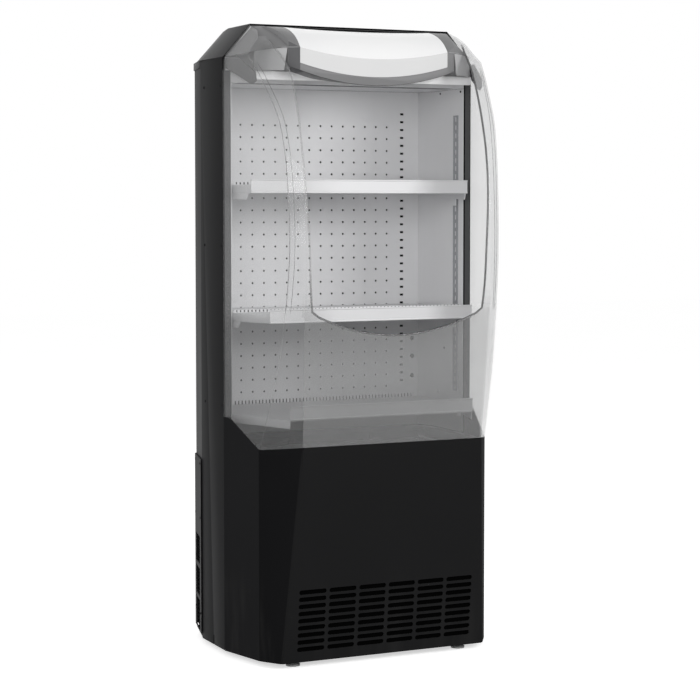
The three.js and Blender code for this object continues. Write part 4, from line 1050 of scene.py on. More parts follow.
@dataclass
class Screens:
    """The clear wrap-around sheets: two wings and the front one with its U-shaped opening."""

    sheet: float = 4.0
    top: float = 1507.0
    front_top: float = 1474.0
    brow_half: float = 243.0
    brow_height: float = 818.0
    joint: float = 0.5
    corner: Pair = (206.0, 819.0)
    bottom: float = 772.0
    fold: Bow = Bow(((139, 502), (210, 705), (247, 900), (253, 1040), (222, 1256), (146, 1373),
                     (88, 1438), (66, 1484), (2, 1507)))
    brow: Bow = Bow(((241, 515), (262, 740), (275, 950), (268, 1120), (240, 1260), (188, 1385),
                     (128, 1450), (76, 1490), (10, 1507)))
    side: Bow = Bow(((206, 819), (222, 829), (232, 994), (240, 1160), (242, 1385), (248, 1421),
                     (262, 1474)))
    rim: float = 2.6
    seam: float = 0.7
    strip: float = 13.0
    # How pale each region of the sheets is: partly their haze, partly a painted reflection of the
    # bright room.
    wing_haze_and_reflection: float = 0.075
    facet_haze_and_reflection: float = 0.085
    apron_haze_and_reflection: float = 0.26
    cheek_haze_and_reflection: float = 0.1
    fade: float = 60.0
    # Painted shade on the opening's cut edge, and how it fades upwards on the left.
    painted_edge_shade: float = 0.5
    painted_edge_shade_fade: float = 240.0

    def fold_point(self, height: float) -> Vector:
        """The right fold line at a height."""
        reach = self.fold.reach(height)
        return Vector((COVER.wing_half(reach) - PLAN.lean(height), -reach, height))

    def brow_point(self, height: float) -> Vector:
        """The right brow line at a height.

        Args:
            height: The height.

        Returns:
            The place.
        """
        share = min(1.0, max(0.0, (height - COVER.top) / (self.brow_height - COVER.top)))
        half = lerp(COVER.top_half, self.brow_half, share)
        return Vector((half, -self.brow.reach(height), height))

    def edge_point(self, height: float) -> Vector:
        """The right edge of the opening at a height, on the front or on the facet.

        Args:
            height: The height.

        Returns:
            The place.
        """
        brow, fold = self.brow_point(height), self.fold_point(height)
        half = self.side.reach(height)
        if half <= brow.x:
            return Vector((half, brow.y, height))
        return brow.lerp(fold, min(1.0, (half - brow.x) / (fold.x - brow.x)))

    def arch(self, x: float) -> float:
        """The height of the opening's lower edge."""
        return lerp(self.bottom, self.corner[1], (x / self.corner[0]) ** 2)

    def build(self) -> None:
        """Makes the three sheets."""
        for side in Side:
            self.wing(side)
            self.joint_strip(side)
        self.front()
        self.opening_edge()

    def wing(self, side: Side) -> None:
        """Makes one wing, from the body's front edge to the fold.

        Args:
            side: The cabinet's side.
        """
        form = Form()

        def place(u: float, v: float) -> Vector:
            """A place on the wing, u from the body to the fold and v from the cover up.

            Args:
                u: The share of the way across.
                v: The share of the way along.

            Returns:
                The place.
            """
            # The cover's edge hangs on the fold's reach, and that on the height.
            low = COVER.wing_top
            for _ in range(12):
                low = COVER.edge(u * self.fold.reach(low)) + self.joint
            height = lerp(low, self.top, v)
            fold = self.fold_point(height)
            root = Vector((PLAN.half - PLAN.lean(height), -0.3, height))
            return side.turn @ root.lerp(fold, u)

        form.skin(6, 64, place)
        form.set_haze_and_reflection(self.wing_haze_and_reflection)
        self.close(form, f"clear_wing_{side.word}", f"side_screen_{side.word}",
                   lambda middle: (side.value, -0.2, 0))

    def inner(self, height: float, across: float, depth: float) -> Vector:
        """A place on the right facet, across from the fold and so deep behind its face.

        Args:
            height: The height.
            across: How far from the fold.
            depth: How far behind the face.

        Returns:
            The place.
        """
        fold, brow = self.fold_point(height), self.brow_point(height)
        along = (brow - fold).normalized()
        return fold + along * across + Vector((along.y, -along.x, 0)).normalized() * depth

    def joint_strip(self, side: Side) -> None:
        """Makes the clear strip behind the front sheet's fold, with its two ground edges.

        Args:
            side: The cabinet's side.
        """
        form = Form()
        low, high = self.corner[1] + 6, self.front_top - 60
        near, lift, rows = 1.0, self.sheet + 0.8, 64

        def place(u: float, v: float) -> Vector:
            """A place on the strip, u in from the fold and v up it."""
            return side.turn @ self.inner(lerp(low, high, v), lerp(near, self.strip, u), lift)

        form.skin(1, rows, place)
        form.walled(1.0, lambda middle: (side.value * 0.8, -1, 0))
        sheet = set(form.bm.faces)
        for edge in (0.0, 1.0):
            form.bead([place(edge, row / rows) for row in range(rows + 1)], self.seam, 6)
        form.paint(lambda face: int(face not in sheet))
        form.finish(f"joint_strip_{side.word}", CLEAR, extra=(CLEAR_EDGE,))

    def opening_edge(self) -> None:
        """Makes the polished edge round the access opening, drawn as a dark line whose strength is
        painted shade, fading upwards on the left side only.
        """
        corner_x, corner_z = self.corner
        behind = Vector((0, self.sheet / 2 + 1.5, 0))
        half, arch, rows, columns = [], [], 59, 48
        for row in range(rows + 1):
            height = lerp(self.front_top - 1, corner_z + 1, row / rows)
            half.append(self.edge_point(height) + behind)
        for column in range(columns + 1):
            x = lerp(corner_x, -corner_x, column / columns)
            arch.append(self.on_brow(x, self.arch(x)) + behind)
        form = Form()
        form.bead([*half, *arch, *(Side.LEFT.turn @ point for point in reversed(half))], self.rim)
        layer = form.bm.faces.layers.float.new(HAZE_AND_REFLECTION)
        for face in form.bm.faces:
            middle = face.calc_center_median()
            # The dark line's strength is painted shade, fading upwards on the left side only.
            over = max(0.0, middle.z - corner_z) if middle.x < -corner_x else 0.0
            face[layer] = max(0.0, self.painted_edge_shade - over / self.painted_edge_shade_fade)
        form.finish("opening_edge", SHADED_RIM_EDGE, slot="clear_plastic", smooth=60)

    def clear_fold(self, height: float) -> Vector:
        """A place on the right facet, a joint's width in from the fold."""
        return self.inner(height, self.joint, 0.0)

    def inner_edge(self, height: float) -> Vector:
        """The right facet's inner edge: the brow, or the opening's edge where that lies beyond."""
        return max(self.brow_point(height), self.edge_point(height), key=lambda place: place.x)

    def on_brow(self, x: float, height: float) -> Vector:
        """A place on the flat front between the brows."""
        return Vector((x, -self.brow.reach(height), height))

    def under_corner(self, height: float) -> Vector:
        """A place on the front, straight under the opening's right corner."""
        return self.on_brow(self.corner[0], height)

    def front(self) -> None:
        """Makes the front sheet: two facets, the apron under the opening and its two cheeks."""
        form = Form()
        corner_x, corner_z = self.corner
        low, top = COVER.top + self.joint, self.front_top
        # Each stretch runs between two lines, from its lower end on each up to one height.
        stretches = (
            (6, 22, self.clear_fold, self.brow_point, (COVER.fold_top + self.joint, low), corner_z,
             self.facet_haze_and_reflection),
            (6, 48, self.clear_fold, self.inner_edge, (corner_z, corner_z), top, self.facet_haze_and_reflection),
            (3, 48, self.inner_edge, self.edge_point, (corner_z, corner_z), top, self.cheek_haze_and_reflection),
            (3, 22, self.brow_point, self.under_corner, (low, low), corner_z, self.apron_haze_and_reflection),
        )
        for side in reversed(Side):
            for columns, rows, near, far, lows, high, haze in stretches:
                def place(u: float, v: float) -> Vector:
                    """A place on the stretch, u from the near line to the far one."""
                    height = lerp(lerp(*lows, u), high, v)
                    return side.turn @ near(height).lerp(far(height), u)

                form.skin(columns, rows, place)
                form.set_haze_and_reflection(haze)

        def apron(u: float, v: float) -> Vector:
            """A place under the opening, u from left to right."""
            x = lerp(-corner_x, corner_x, u)
            return self.on_brow(x, lerp(low, self.arch(x), v))

        form.skin(40, 22, apron)
        form.set_haze_and_reflection(self.apron_haze_and_reflection)
        bmesh.ops.remove_doubles(form.bm, verts=form.bm.verts, dist=0.05)
        bmesh.ops.dissolve_degenerate(form.bm, dist=0.05, edges=form.bm.edges)
        self.close(form, "clear_front", "front_screen", lambda middle: (middle.x / 400, -1, 0))

    def close(self, form: Form, name: str, node: str,
              outwards: Callable[[Vector], Sequence[float]]) -> None:
        """Gives a sheet its thickness, its blend of haze and painted reflection, and its finishes.

        Args:
            form: The sheet's outer skin.
            name: The piece's name.
            node: The CAD node it stands for.
            outwards: The way outwards for a face's middle.
        """
        form.walled(self.sheet, outwards)
        layer = form.bm.faces.layers.float[HAZE_AND_REFLECTION]
        for face in form.bm.faces:
            middle = face.calc_center_median()
            over = middle.z - self.corner[1]
            if 0 < over < self.fade and abs(middle.x) < self.brow_point(middle.z).x + 1:
                face[layer] = lerp(self.apron_haze_and_reflection, self.cheek_haze_and_reflection, over / self.fade)
            if name.startswith("clear_wing"):
                face.material_index = 2 if middle.x > 0 else int(over > 0)
        form.finish(name, CLEAR, replaces=(node,), recalculate=False, smooth=20,
                    extra=(CLEAR_HIGH, CLEAR_DIM))


# ------------------------------------------------------------------ lower cover


@dataclass
class LowerCover:
    """The folded black cover in front of the cooling unit, with its intake grille."""

    sheet: float = 2.5
    columns: int = 6
    rows: int = 9
    column_pitch: float = 78.0
    row_pitch: float = 17.3
    slot: Pair = (71.0, 11.0)
    lowest: float = 31.0
    fold_radius: float = 5.0
    # How far a face turns sideways before it takes the painted shade, and then the painted light.
    painted_light_turns: Pair = (0.6, 0.92)

    def build(self) -> None:
        """Makes the cover in one folded sheet."""
        form = Form()
        holes = [slot_outline(x, self.lowest + row * self.row_pitch, *self.slot)
                 for row in range(self.rows) for x in spaced(self.columns, self.column_pitch)]
        foot, top = COVER.front(0)[0], COVER.top_half
        outline = [(-foot, 0), (foot, 0), (top, COVER.top), (-top, COVER.top)]
        form.pierced(outline, holes, lambda x, z: (x, -COVER.front(z)[1], z))
        for side in Side:
            s = side.value
            fold = [(s * COVER.fold_half, -COVER.fold_reach, 0),
                    (s * COVER.fold_half, -COVER.fold_reach, COVER.fold_top)]
            front = [(s * foot, -COVER.foot_reach, 0), (s * top, -COVER.top_reach, COVER.top)]
            form.panel([fold[0], front[0], front[1], fold[1]])
            form.panel([(s * PLAN.half, -0.3, 0), fold[0], fold[1],
                        (s * COVER.wing_half(COVER.wing_flat), -COVER.wing_flat, COVER.wing_top),
                        (s * PLAN.half, -0.3, COVER.wing_top)])
        form.faced(lambda middle: (middle.x / 300, -1, 0))
        form.round(form.sharp(0.15), self.fold_radius, 3)
        form.walled(self.sheet, lambda middle: (middle.x / 300, -1, 0))
        # Faces turned sideways take darker or lighter copies of the black steel: painted shade on
        # the facets, painted light on the wings.
        form.paint(lambda face: sum(abs(face.normal.x) > limit for limit in self.painted_light_turns))
        form.finish("grille_cover", BLACK_STEEL, replaces=("front_cover",), recalculate=False,
                    extra=(SHADED_BLACK_STEEL, LIT_BLACK_STEEL))
        self.mat()

    def mat(self) -> None:
        """Makes the black filter mat that lies against the grille from behind; its near-black tone
        also paints the shade inside the cooling unit.
        """
        low, high = self.lowest - 16, self.lowest + (self.rows - 1) * self.row_pitch + 16
        half = self.column_pitch * self.columns / 2 + 4
        form = Form()

        def place(u: float, v: float) -> Vector:
            """A place on the mat's front, u from left to right."""
            height = lerp(low, high, v)
            return Vector((lerp(-half, half, u), 4.5 - COVER.front(height)[1], height))

        form.skin(24, 8, place)
        form.walled(5.0, lambda middle: (0, -1, 0))
        form.finish("filter_mat", FILTER_AND_SHADE, slot="black_plastic", recalculate=False)


# ------------------------------------------------------------------ cold space


@dataclass
class BackWall:
    """The perforated back sheet with its two slotted columns."""

    sheet: float = 2.0
    upright_x: float = 248.5
    upright_top: float = 1311.9
    upright_pitch: float = 20.45
    upright_slots: int = 35
    slot: Pair = (10.0, 5.4)
    hole: float = 2.8
    hole_columns: int = 14
    column_pitch: float = 31.5
    hole_top: float = 1277.5
    hole_pitch: float = 30.65
    hole_rows: int = 23
    big_x: float = 280.0
    big_hole: float = 6.2
    big_heights: tuple[float, ...] = (727.0, 680.0, 628.0)
    slit_height: float = 577.0
    slit: Pair = (3.2, 10.0)
    slit_pitch: float = 9.4
    slit_margin: float = 20.0

    def build(self) -> None:
        """Makes the sheet with every hole real."""
        low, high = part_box("back_panel")
        half = high.x * 1000.0
        bottom = (low.z - DATUM.bottom) * 1000.0
        top = (high.z - DATUM.bottom) * 1000.0
        holes = []
        for row in range(self.upright_slots):
            height = self.upright_top - row * self.upright_pitch
            holes += [box_outline(side.value * self.upright_x, height, *self.slot) for side in Side]
        for row in range(self.hole_rows):
            height = self.hole_top - row * self.hole_pitch
            holes += [ring_outline(x, height, self.hole)
                      for x in spaced(self.hole_columns, self.column_pitch)]
        for height in self.big_heights:
            holes += [ring_outline(side.value * self.big_x, height, self.big_hole, 16)
                      for side in Side]
        slits = int(2 * (half - self.slit_margin) / self.slit_pitch) + 1
        holes += [box_outline(x, self.slit_height, *self.slit)
                  for x in spaced(slits, self.slit_pitch)]
        form = Form()
        outline = [(-half, bottom), (half, bottom), (half, top), (-half, top)]
        form.pierced(outline, holes, lambda x, z: (x, PLAN.back_depth, z))
        form.walled(self.sheet, lambda middle: (0, -1, 0))
        form.finish("perforated_back", WHITE_STEEL, replaces=("back_panel",), recalculate=False)


@dataclass
class Shelf:
    """One lift-off shelf: a folded pan, its price strip and, where it hangs, its two brackets."""

    name: str
    body: Body
    surface: float
    reach: float
    half: float
    strip_rise: float
    pan_node: str
    strip_node: str
    bracket_nodes: tuple[str, ...] = ()
    side_half: float = 309.0
    strip_height: float = 33.0
    strip_thickness: float = 4.0
    comb_height: float = 7.5
    comb_slot: Pair = (3.6, 5.4)
    comb_pitch: float = 9.9
    comb_margin: float = 8.0
    comb_sheet: float = 1.2
    channel: Pair = (2.2, 4.2)

    def build(self) -> None:
        """Makes the pan, the strip, and on a hung shelf the air comb and the brackets."""
        pan = Form.of_node(self.pan_node, 1.4)
        pan.finish(f"{self.name}_pan", WHITE_STEEL, self.body, replaces=(self.pan_node,))
        self.strip()
        if self.bracket_nodes:
            self.comb()
        for node in self.bracket_nodes:
            plate = Form.of_node(node, 0.6, 1)
            plate.finish(f"{node}_plate", WHITE_STEEL, replaces=(node,))

    def comb(self) -> None:
        """Makes the low slotted riser across the shelf, with a dark grey channel behind it: painted
        shade seen through its slots.
        """
        half = self.side_half + 1.5
        foot, top = self.surface + 0.2, self.surface + self.comb_height
        slots = int(2 * (half - self.comb_margin) / self.comb_pitch) + 1
        holes = [box_outline(x, (foot + top) / 2, *self.comb_slot)
                 for x in spaced(slots, self.comb_pitch)]
        form = Form()
        form.pierced([(-half, foot), (half, foot), (half, top), (-half, top)], holes,
                     lambda x, z: (x, 0.0, z))
        form.walled(self.comb_sheet, lambda middle: (0, -1, 0))
        sheet = set(form.bm.faces)
        front, back = self.channel
        # A dark grey block behind the slots: painted shade inside them.
        form.block((-half + 1, front, foot), (half - 1, back, top - 0.8))
        form.paint(lambda face: int(face not in sheet))
        form.finish(f"{self.name}_comb", WHITE_STEEL, self.body, extra=(GREY_STEEL,))

    def strip(self) -> None:
        """Makes the price strip: a channel with a ticket face between two beads."""
        top = self.surface + self.strip_rise
        bottom = top - self.strip_height
        back = -self.reach - 0.3
        face = back - self.strip_thickness
        half_profile = ((back, 0.0), (face + 0.6, 0.0), (face, 0.8), (face, 2.6), (face + 1.3, 4.0))
        profile = [(y, bottom + rise) for y, rise in half_profile]
        profile += [(y, top - rise) for y, rise in reversed(half_profile)]
        form = Form()
        form.prism([(-self.half, y, z) for y, z in profile], (2 * self.half, 0, 0))
        form.finish(f"{self.name}_strip", STRIP_PLASTIC, self.body, replaces=(self.strip_node,))


# ------------------------------------------------------------------ canopy and rear vent


@dataclass
class Canopy:
    """The lit canopy: a moulded housing round an opal lens with an arched crease."""

    half: float = 195.5
    shoulder_half: float = 220.0
    reach: float = 138.0
    shoulder_reach: float = 126.0
    top: Pair = (1501.0, 1496.5)
    top_reach: float = 39.0
    crest: Pair = (110.0, 1487.0)
    knee: Pair = (1447.0, 1425.0)
    lens_edge: Pair = (1411.0, 1382.0)
    lip: Pair = (1402.0, 1362.0)
    sheet: float = 3.0
    knee_line: tuple[Place, ...] = (
        (220.0, 126.0, 1447.0), (262.0, 108.0, 1444.0), (287.0, 80.0, 1439.0))
    roof_line: tuple[Place, ...] = (
        (238.0, 18.0, 1504.0), (262.0, 4.0, 1504.0), (331.0, 3.0, 1429.0))
    band_heights: Pair = (1373.0, 1393.0)
    band_half: float = 293.0
    band_reach: float = 79.0
    strip_half: float = 311.0
    moulding: float = 2.5

    def arch(self, x: float, heights: Pair) -> float:
        """The height of an arched line at x, from its (end, middle) heights."""
        return lerp(heights[1], heights[0], min(1.0, (x / self.half) ** 2))

    def build(self) -> None:
        """Makes the lens, the housing and what trims them."""
        self.lens()
        self.housing()
        self.lip_bead()
        self.band()
        self.gasket()
        for side in Side:
            self.hood(side)
            self.cheek(side)
            self.crease(side)

    def lens(self) -> None:
        """Makes the lens: a bowed upper face, a crease and an upright lower face."""
        form = Form()
        crease = 0.6

        def place(u: float, v: float) -> Vector:
            """A place on the lens, u from left to right and v from the top down.

            Args:
                u: The share of the way across.
                v: The share of the way along.

            Returns:
                The place.
            """
            x = lerp(-self.half, self.half, u)
            knee = self.arch(x, self.knee)
            if v <= crease:
                top = Vector((x, -self.top_reach, self.arch(x, self.top)))
                crest = Vector((x, -self.crest[0], self.crest[1]))
                return curved(top, crest, Vector((x, -self.reach, knee)), v / crease)
            low = self.arch(x, self.lens_edge)
            return Vector((x, -self.reach, lerp(knee, low, (v - crease) / (1 - crease))))

        form.skin(48, 20, place)
        form.faced(lambda middle: (0, -1, 0.4))
        # The upright lower faces take a darker, dimmer copy of the opal: painted shade under the
        # lit upper face.
        form.paint(lambda face: int(face.normal.z <= 0.2))
        form.walled(self.sheet, lambda middle: (0, -1, 0.4))
        form.finish("lens", OPAL, replaces=("canopy_lens",), recalculate=False, smooth=24,
                    extra=(SHADED_OPAL,))

    def housing(self) -> None:
        """Makes the housing with eased edges, its upper edge painted black as shade, and painted
        shade on its lower faces that turn to the left.
        """
        form = Form.of_node("canopy_housing", 1.6)
        rim, shade = 1, 2
        for face in form.bm.faces:
            middle = face.calc_center_median()
            # The strip along the upper edge is painted black: painted shade where the housing meets
            # the roof.
            if middle.z > self.top[1] - 4 and middle.y > -self.top_reach - 3:
                face.material_index = rim
            # Lower faces turned to the left take a darker grey: painted shade.
            elif face.normal.x < -0.3 and middle.z < self.knee[0] - 2:
                face.material_index = shade
        form.finish("housing", GREY_PLASTIC, replaces=("canopy_housing",),
                    extra=(BLACK_RIM, GREY_SHADE))

    @staticmethod
    def along(line: Sequence[Sequence[float]], share: float) -> Vector:
        """A place on the quadratic curve through three right-hand (x, reach, height) points."""
        first, middle, last = (Vector((x, -reach, z)) for x, reach, z in line)
        return curved(first, middle * 2 - (first + last) / 2, last, share)

    def hood(self, side: Side) -> None:
        """Makes the bowed top of the housing between its shoulder and the roof's slope.

        Args:
            side: The cabinet's side.
        """
        form = Form()
        top, bend, end = (Vector((x, -reach, z)) for x, reach, z in self.roof_line)
        bend_at, swell = 0.3, 9.0

        def place(u: float, v: float) -> Vector:
            """A place on the hood, u outwards and v from the roof to the knee.

            Args:
                u: The share of the way across.
                v: The share of the way along.

            Returns:
                The place.
            """
            start = top.lerp(bend, u / bend_at)
            if u >= bend_at:
                start = bend.lerp(end, (u - bend_at) / (1 - bend_at))
            point = start.lerp(self.along(self.knee_line, u), v)
            point.z += swell * (1 - u) ** 2 * 4 * v * (1 - v)
            return side.turn @ point

        form.skin(20, 12, place)
        form.walled(self.moulding, lambda middle: (0, -0.6, 1))
        form.finish(f"canopy_hood_{side.word}", GREY_PLASTIC, recalculate=False, smooth=40)

    def cheek(self, side: Side) -> None:
        """Makes the upright side of the housing under the knee line.

        Args:
            side: The cabinet's side.
        """
        form = Form()

        def place(u: float, v: float) -> Vector:
            """A place on the cheek, u outwards and v from the knee down.

            Args:
                u: The share of the way across.
                v: The share of the way along.

            Returns:
                The place.
            """
            top = self.along(self.knee_line, lerp(0.02 + 0.08 * v, 1.0, u))
            height = lerp(top.z - 0.5, self.band_heights[1], v)
            return side.turn @ Vector((top.x + 4 * v * u, top.y + 1.5, height))

        form.skin(16, 6, place)
        form.walled(self.moulding, lambda middle: (0.3 * side.value, -1, 0))
        # The cheek takes a lighter copy of the housing's grey plastic: painted light.
        form.finish(f"canopy_cheek_{side.word}", LIT_CHEEK_GREY, slot="grey_plastic",
                    recalculate=False, smooth=40)

    def crease(self, side: Side) -> None:
        """Makes a pale bead along the knee: a painted highlight on the housing's crease.

        Args:
            side: The cabinet's side.
        """
        knee, proud = self.knee[0], 0.2
        start = Vector((self.half + 2, -self.reach - proud, knee))
        end = Vector((self.shoulder_half, -self.shoulder_reach - proud, knee))
        points = [start.lerp(end, step / 6) for step in range(7)]
        points += [self.along(self.knee_line, step / 20) for step in range(1, 5)]
        form = Form()
        form.bead([side.turn @ point for point in points], 0.9, 6)
        # A lighter grey on the bead: painted highlight along the knee.
        form.finish(f"canopy_knee_highlight_{side.word}", LIT_GREY_PLASTIC, slot="grey_plastic", smooth=60)

    def band(self) -> None:
        """Makes the white lip across the canopy under its sides, and the strip over the ceiling."""
        low, high = self.band_heights
        half = self.band_half
        form = Form()
        edge = [(-half, high), (-half, low + 4), (-half + 1.2, low + 1.2), (-half + 4, low)]
        outline = edge + [(-x, z) for x, z in reversed(edge)]
        form.prism([(x, -self.band_reach, z) for x, z in outline], (0, 2.0, 0))
        form.block((-half, 3 - self.band_reach, high - 2), (half, -5.0, high))
        reach, foot, top = self.strip_half, PLAN.ceiling + 25, PLAN.ceiling + 32
        form.block((-reach, -4.1, foot), (reach, -3.5, top))
        # The band and its strip take a lighter copy of the white steel: painted light under the
        # canopy.
        form.finish("canopy_band", LIT_WHITE_STEEL, slot="white_steel")

    def gasket(self) -> None:
        """Makes the black seal between the roof and the clear screens."""
        radius, inset = 1.9, 1.0
        line = [Vector((PLAN.half - inset, -radius, PLAN.eaves - 32)),
                Vector((PLAN.half - inset, -radius, PLAN.eaves - 1)),
                Vector((PLAN.half - PLAN.slope - 0.4, -radius, PLAN.height - 2.1))]
        right = [first.lerp(last, step / 10) for first, last in zip(line, line[1:])
                 for step in range(10)]
        right.append(line[-1])
        form = Form()
        form.bead([Side.LEFT.turn @ point for point in right] + right[::-1], radius)
        form.finish("roof_gasket", BLACK_RIM, slot="black_plastic", smooth=60)

    def lip_bead(self) -> None:
        """Makes the thin rolled edge under the lip."""
        form = Form()
        points = []
        for step in range(49):
            x = lerp(-self.shoulder_half, self.shoulder_half, step / 48)
            share = max(0.0, (abs(x) - self.half) / (self.shoulder_half - self.half))
            reach = lerp(self.reach, self.shoulder_reach, share)
            height = lerp(self.lip[1], self.lip[0], (x / self.shoulder_half) ** 2)
            points.append(Vector((x, 2.4 - reach, height + 1.2)))
        form.bead(points, 1.7)
        form.finish("lip_bead", BLACK_PLASTIC, smooth=60)


@dataclass
class VentCover:
    """The grey cover round the rear corners of the base, with louvred windows and a seal."""

    windows: tuple[Pair, ...] = ((14.0, 89.0), (99.0, 169.0), (180.0, 250.0))
    run: Pair = (171.0, 255.0)
    blades: int = 7
    depth: float = 9.0
    seal_run: Pair = (12.0, 447.0)
    screw_depths: tuple[float, ...] = (162.0, 262.0)
    screw_heights: tuple[float, ...] = (60.0, 300.0, 436.0)

    def build(self) -> None:
        """Makes the cover, the louvres behind its windows, its screws and its seals."""
        shell = Form.of_node("rear_vent_cover", 0.9)
        # The cover takes a darker copy of the grey steel: painted shade on the rear corners.
        shell.finish("vent_shell", SHADED_VENT_STEEL, slot="grey_steel", replaces=("rear_vent_cover",))
        for side in Side:
            self.louvres(side)
            self.screws(side)
            self.seal(side)

    def seal(self, side: Side) -> None:
        """Makes the black seal along the cover's front edge.

        Args:
            side: The cabinet's side.
        """
        form = Form()
        radius = 1.5
        foot = PLAN.band_point(PLAN.side_depth + radius, radius)
        form.bead([side.turn @ (foot + Vector((0, 0, lerp(*self.seal_run, step / 12))))
                   for step in range(13)], radius)
        form.finish(f"vent_seal_{side.word}", BLACK_RIM, slot="black_plastic", smooth=60)

    def louvres(self, side: Side) -> None:
        """Makes the sloping blades of one side.

        Args:
            side: The cabinet's side.
        """
        form = Form()
        start, end = (PLAN.band_point(depth, -0.6) for depth in self.run)
        inner = start - PLAN.band_normal * self.depth
        profile = ((start, 0.0), (inner, 6.0), (inner, 7.2), (start, 1.2))
        for low, high in self.windows:
            pitch = (high - low) / self.blades
            for index in range(self.blades):
                foot = low + pitch * (index + 0.25)
                form.prism([side.turn @ (place + Vector((0, 0, foot + rise)))
                            for place, rise in profile], side.turn @ (end - start))
        form.finish(f"vent_louvres_{side.word}", BLACK_STEEL)

    def screws(self, side: Side) -> None:
        """Makes the screws of one side.

        Args:
            side: The cabinet's side.
        """
        form = Form()
        for depth in self.screw_depths:
            for height in self.screw_heights:
                place = PLAN.band_point(depth, 3.2) + Vector((0, 0, height))
                form.screw(side.turn @ place, side.turn @ PLAN.band_normal, 3.4, 1.4)
        form.finish(f"vent_screws_{side.word}", BLACK_STEEL)


# ------------------------------------------------------------------ small parts


@dataclass
class Fasteners:
    """Rivets on the side panels and screws in the side liners."""

    rivet_depths: tuple[float, ...] = (13.3, 123.5)
    rivet_heights: tuple[float, ...] = (1362.0, 979.0, 595.0)
    rivet: Pair = (3.4, 1.1)
    liner_places: tuple[Pair, ...] = (
        (122.0, 1362.0), (13.0, 1362.0), (97.0, 708.0), (130.0, 592.0))

    def build(self) -> None:
        """Makes the rivets of both sides."""
        for side in Side:
            form = Form()
            for depth in self.rivet_depths:
                for height in self.rivet_heights:
                    place = (side.value * PLAN.half, depth, height)
                    form.dome(place, (side.value, 0, 0), *self.rivet)
            form.finish(f"side_rivets_{side.word}", BLACK_STEEL)
            self.liner_screws(side)

    def liner_screws(self, side: Side) -> None:
        """Makes the small dark screws that hold a side liner.

        Args:
            side: The cabinet's side.
        """
        form = Form()
        for depth, height in self.liner_places:
            place = (side.value * (PLAN.half - PLAN.wall), depth, height)
            form.screw(place, (-side.value, 0, 0), 3.0, 1.6)
        form.finish(f"liner_screws_{side.word}", BLACK_RIM, slot="black_steel")


@dataclass
class Steelwork:
    """CAD sheet pieces that keep their shape and get eased edges."""

    fronted: tuple[tuple[str, str, Finish, float], ...] = (
        ("side_panel_left", "side_skin_left", BLACK_PANEL, 1.2),
        ("side_panel_right", "side_skin_right", BLACK_PANEL, 1.2),
        ("roof_cap", "roof_shell", GREY_PANEL, 1.2),
    )
    border: float = 2.4
    least: float = 60.0
    skin: float = 14.0
    crown: float = 8.0
    eased: tuple[tuple[str, str, Finish, float], ...] = (
        ("rear_panel", "rear_skin", GREY_PANEL, 1.0),
        ("ceiling_duct", "duct_lip", WHITE_STEEL, 0.8),
        ("side_liner_left", "liner_skin_left", WHITE_STEEL, 0.4),
        ("side_liner_right", "liner_skin_right", WHITE_STEEL, 0.4),
        ("canopy_arm_left", "arm_left", GREY_PLASTIC, 1.6),
        ("canopy_arm_right", "arm_right", GREY_PLASTIC, 1.6),
        ("control_box", "control_case", CONTROL_PLASTIC, 2.5),
    )

    def build(self) -> None:
        """Makes the eased copies."""
        for node, name, finish, width in self.eased:
            Form.of_node(node, width).finish(name, finish, replaces=(node,))
        for node, name, finish, width in self.fronted:
            self.front_faced(node, name, finish, width)

    def front_faced(self, node: str, name: str, finish: Finish, width: float) -> None:
        """Makes a shell piece whose front edge is a grey strip between black rims.

        Args:
            node: The CAD node it stands for.
            name: The piece's name.
            finish: Its main finish.
            width: The radius of its edges.
        """
        form = Form.of_node(node, width)
        form.bm.normal_update()
        fronts = [face for face in form.bm.faces if face.normal.y < -0.99
                  and face.calc_center_median().y < 1.0 and face.calc_area() > self.least]
        bmesh.ops.inset_region(form.bm, faces=fronts, thickness=self.border, use_even_offset=True)
        strip, rim = 1, 2
        for face in form.bm.faces:
            middle = face.calc_center_median()
            if face.normal.y < -0.9 and middle.y < 2.0:
                inward = self.skin - PLAN.half < middle.x < 0 and middle.z < PLAN.eaves
                face.material_index = strip if inward else rim
        for face in fronts:
            if face.is_valid and face.calc_center_median().z < PLAN.height - self.crown:
                face.material_index = strip
        form.finish(name, finish, replaces=(node,), extra=(GREY_EDGE, BLACK_RIM))


@dataclass
class CarriedNodes:
    """CAD nodes that stay as they are and only get their finish."""

    own: tuple[tuple[str, Finish], ...] = (
        # The feet take a lighter grey: painted light in the shade under the cabinet.
        ("foot_", LIT_FOOT_PLASTIC),
        # The air outlet takes a lighter grey: painted light against the shade under the canopy.
        ("air_outlet", LIT_GREY_PLASTIC),
    )

    def build(self) -> None:
        """Gives each node its own finish, or else that of its material slot."""
        slots = {entry["node"]: entry["material_slot"] for entry in frame["record"]["subparts"]}
        for name, node in frame["nodes"].items():
            own = [finish for start, finish in self.own if name.startswith(start)]
            node.data.materials.clear()
            node.data.materials.append((own or [SLOTS[slots[name]]])[0].material())


# ------------------------------------------------------------------ studio


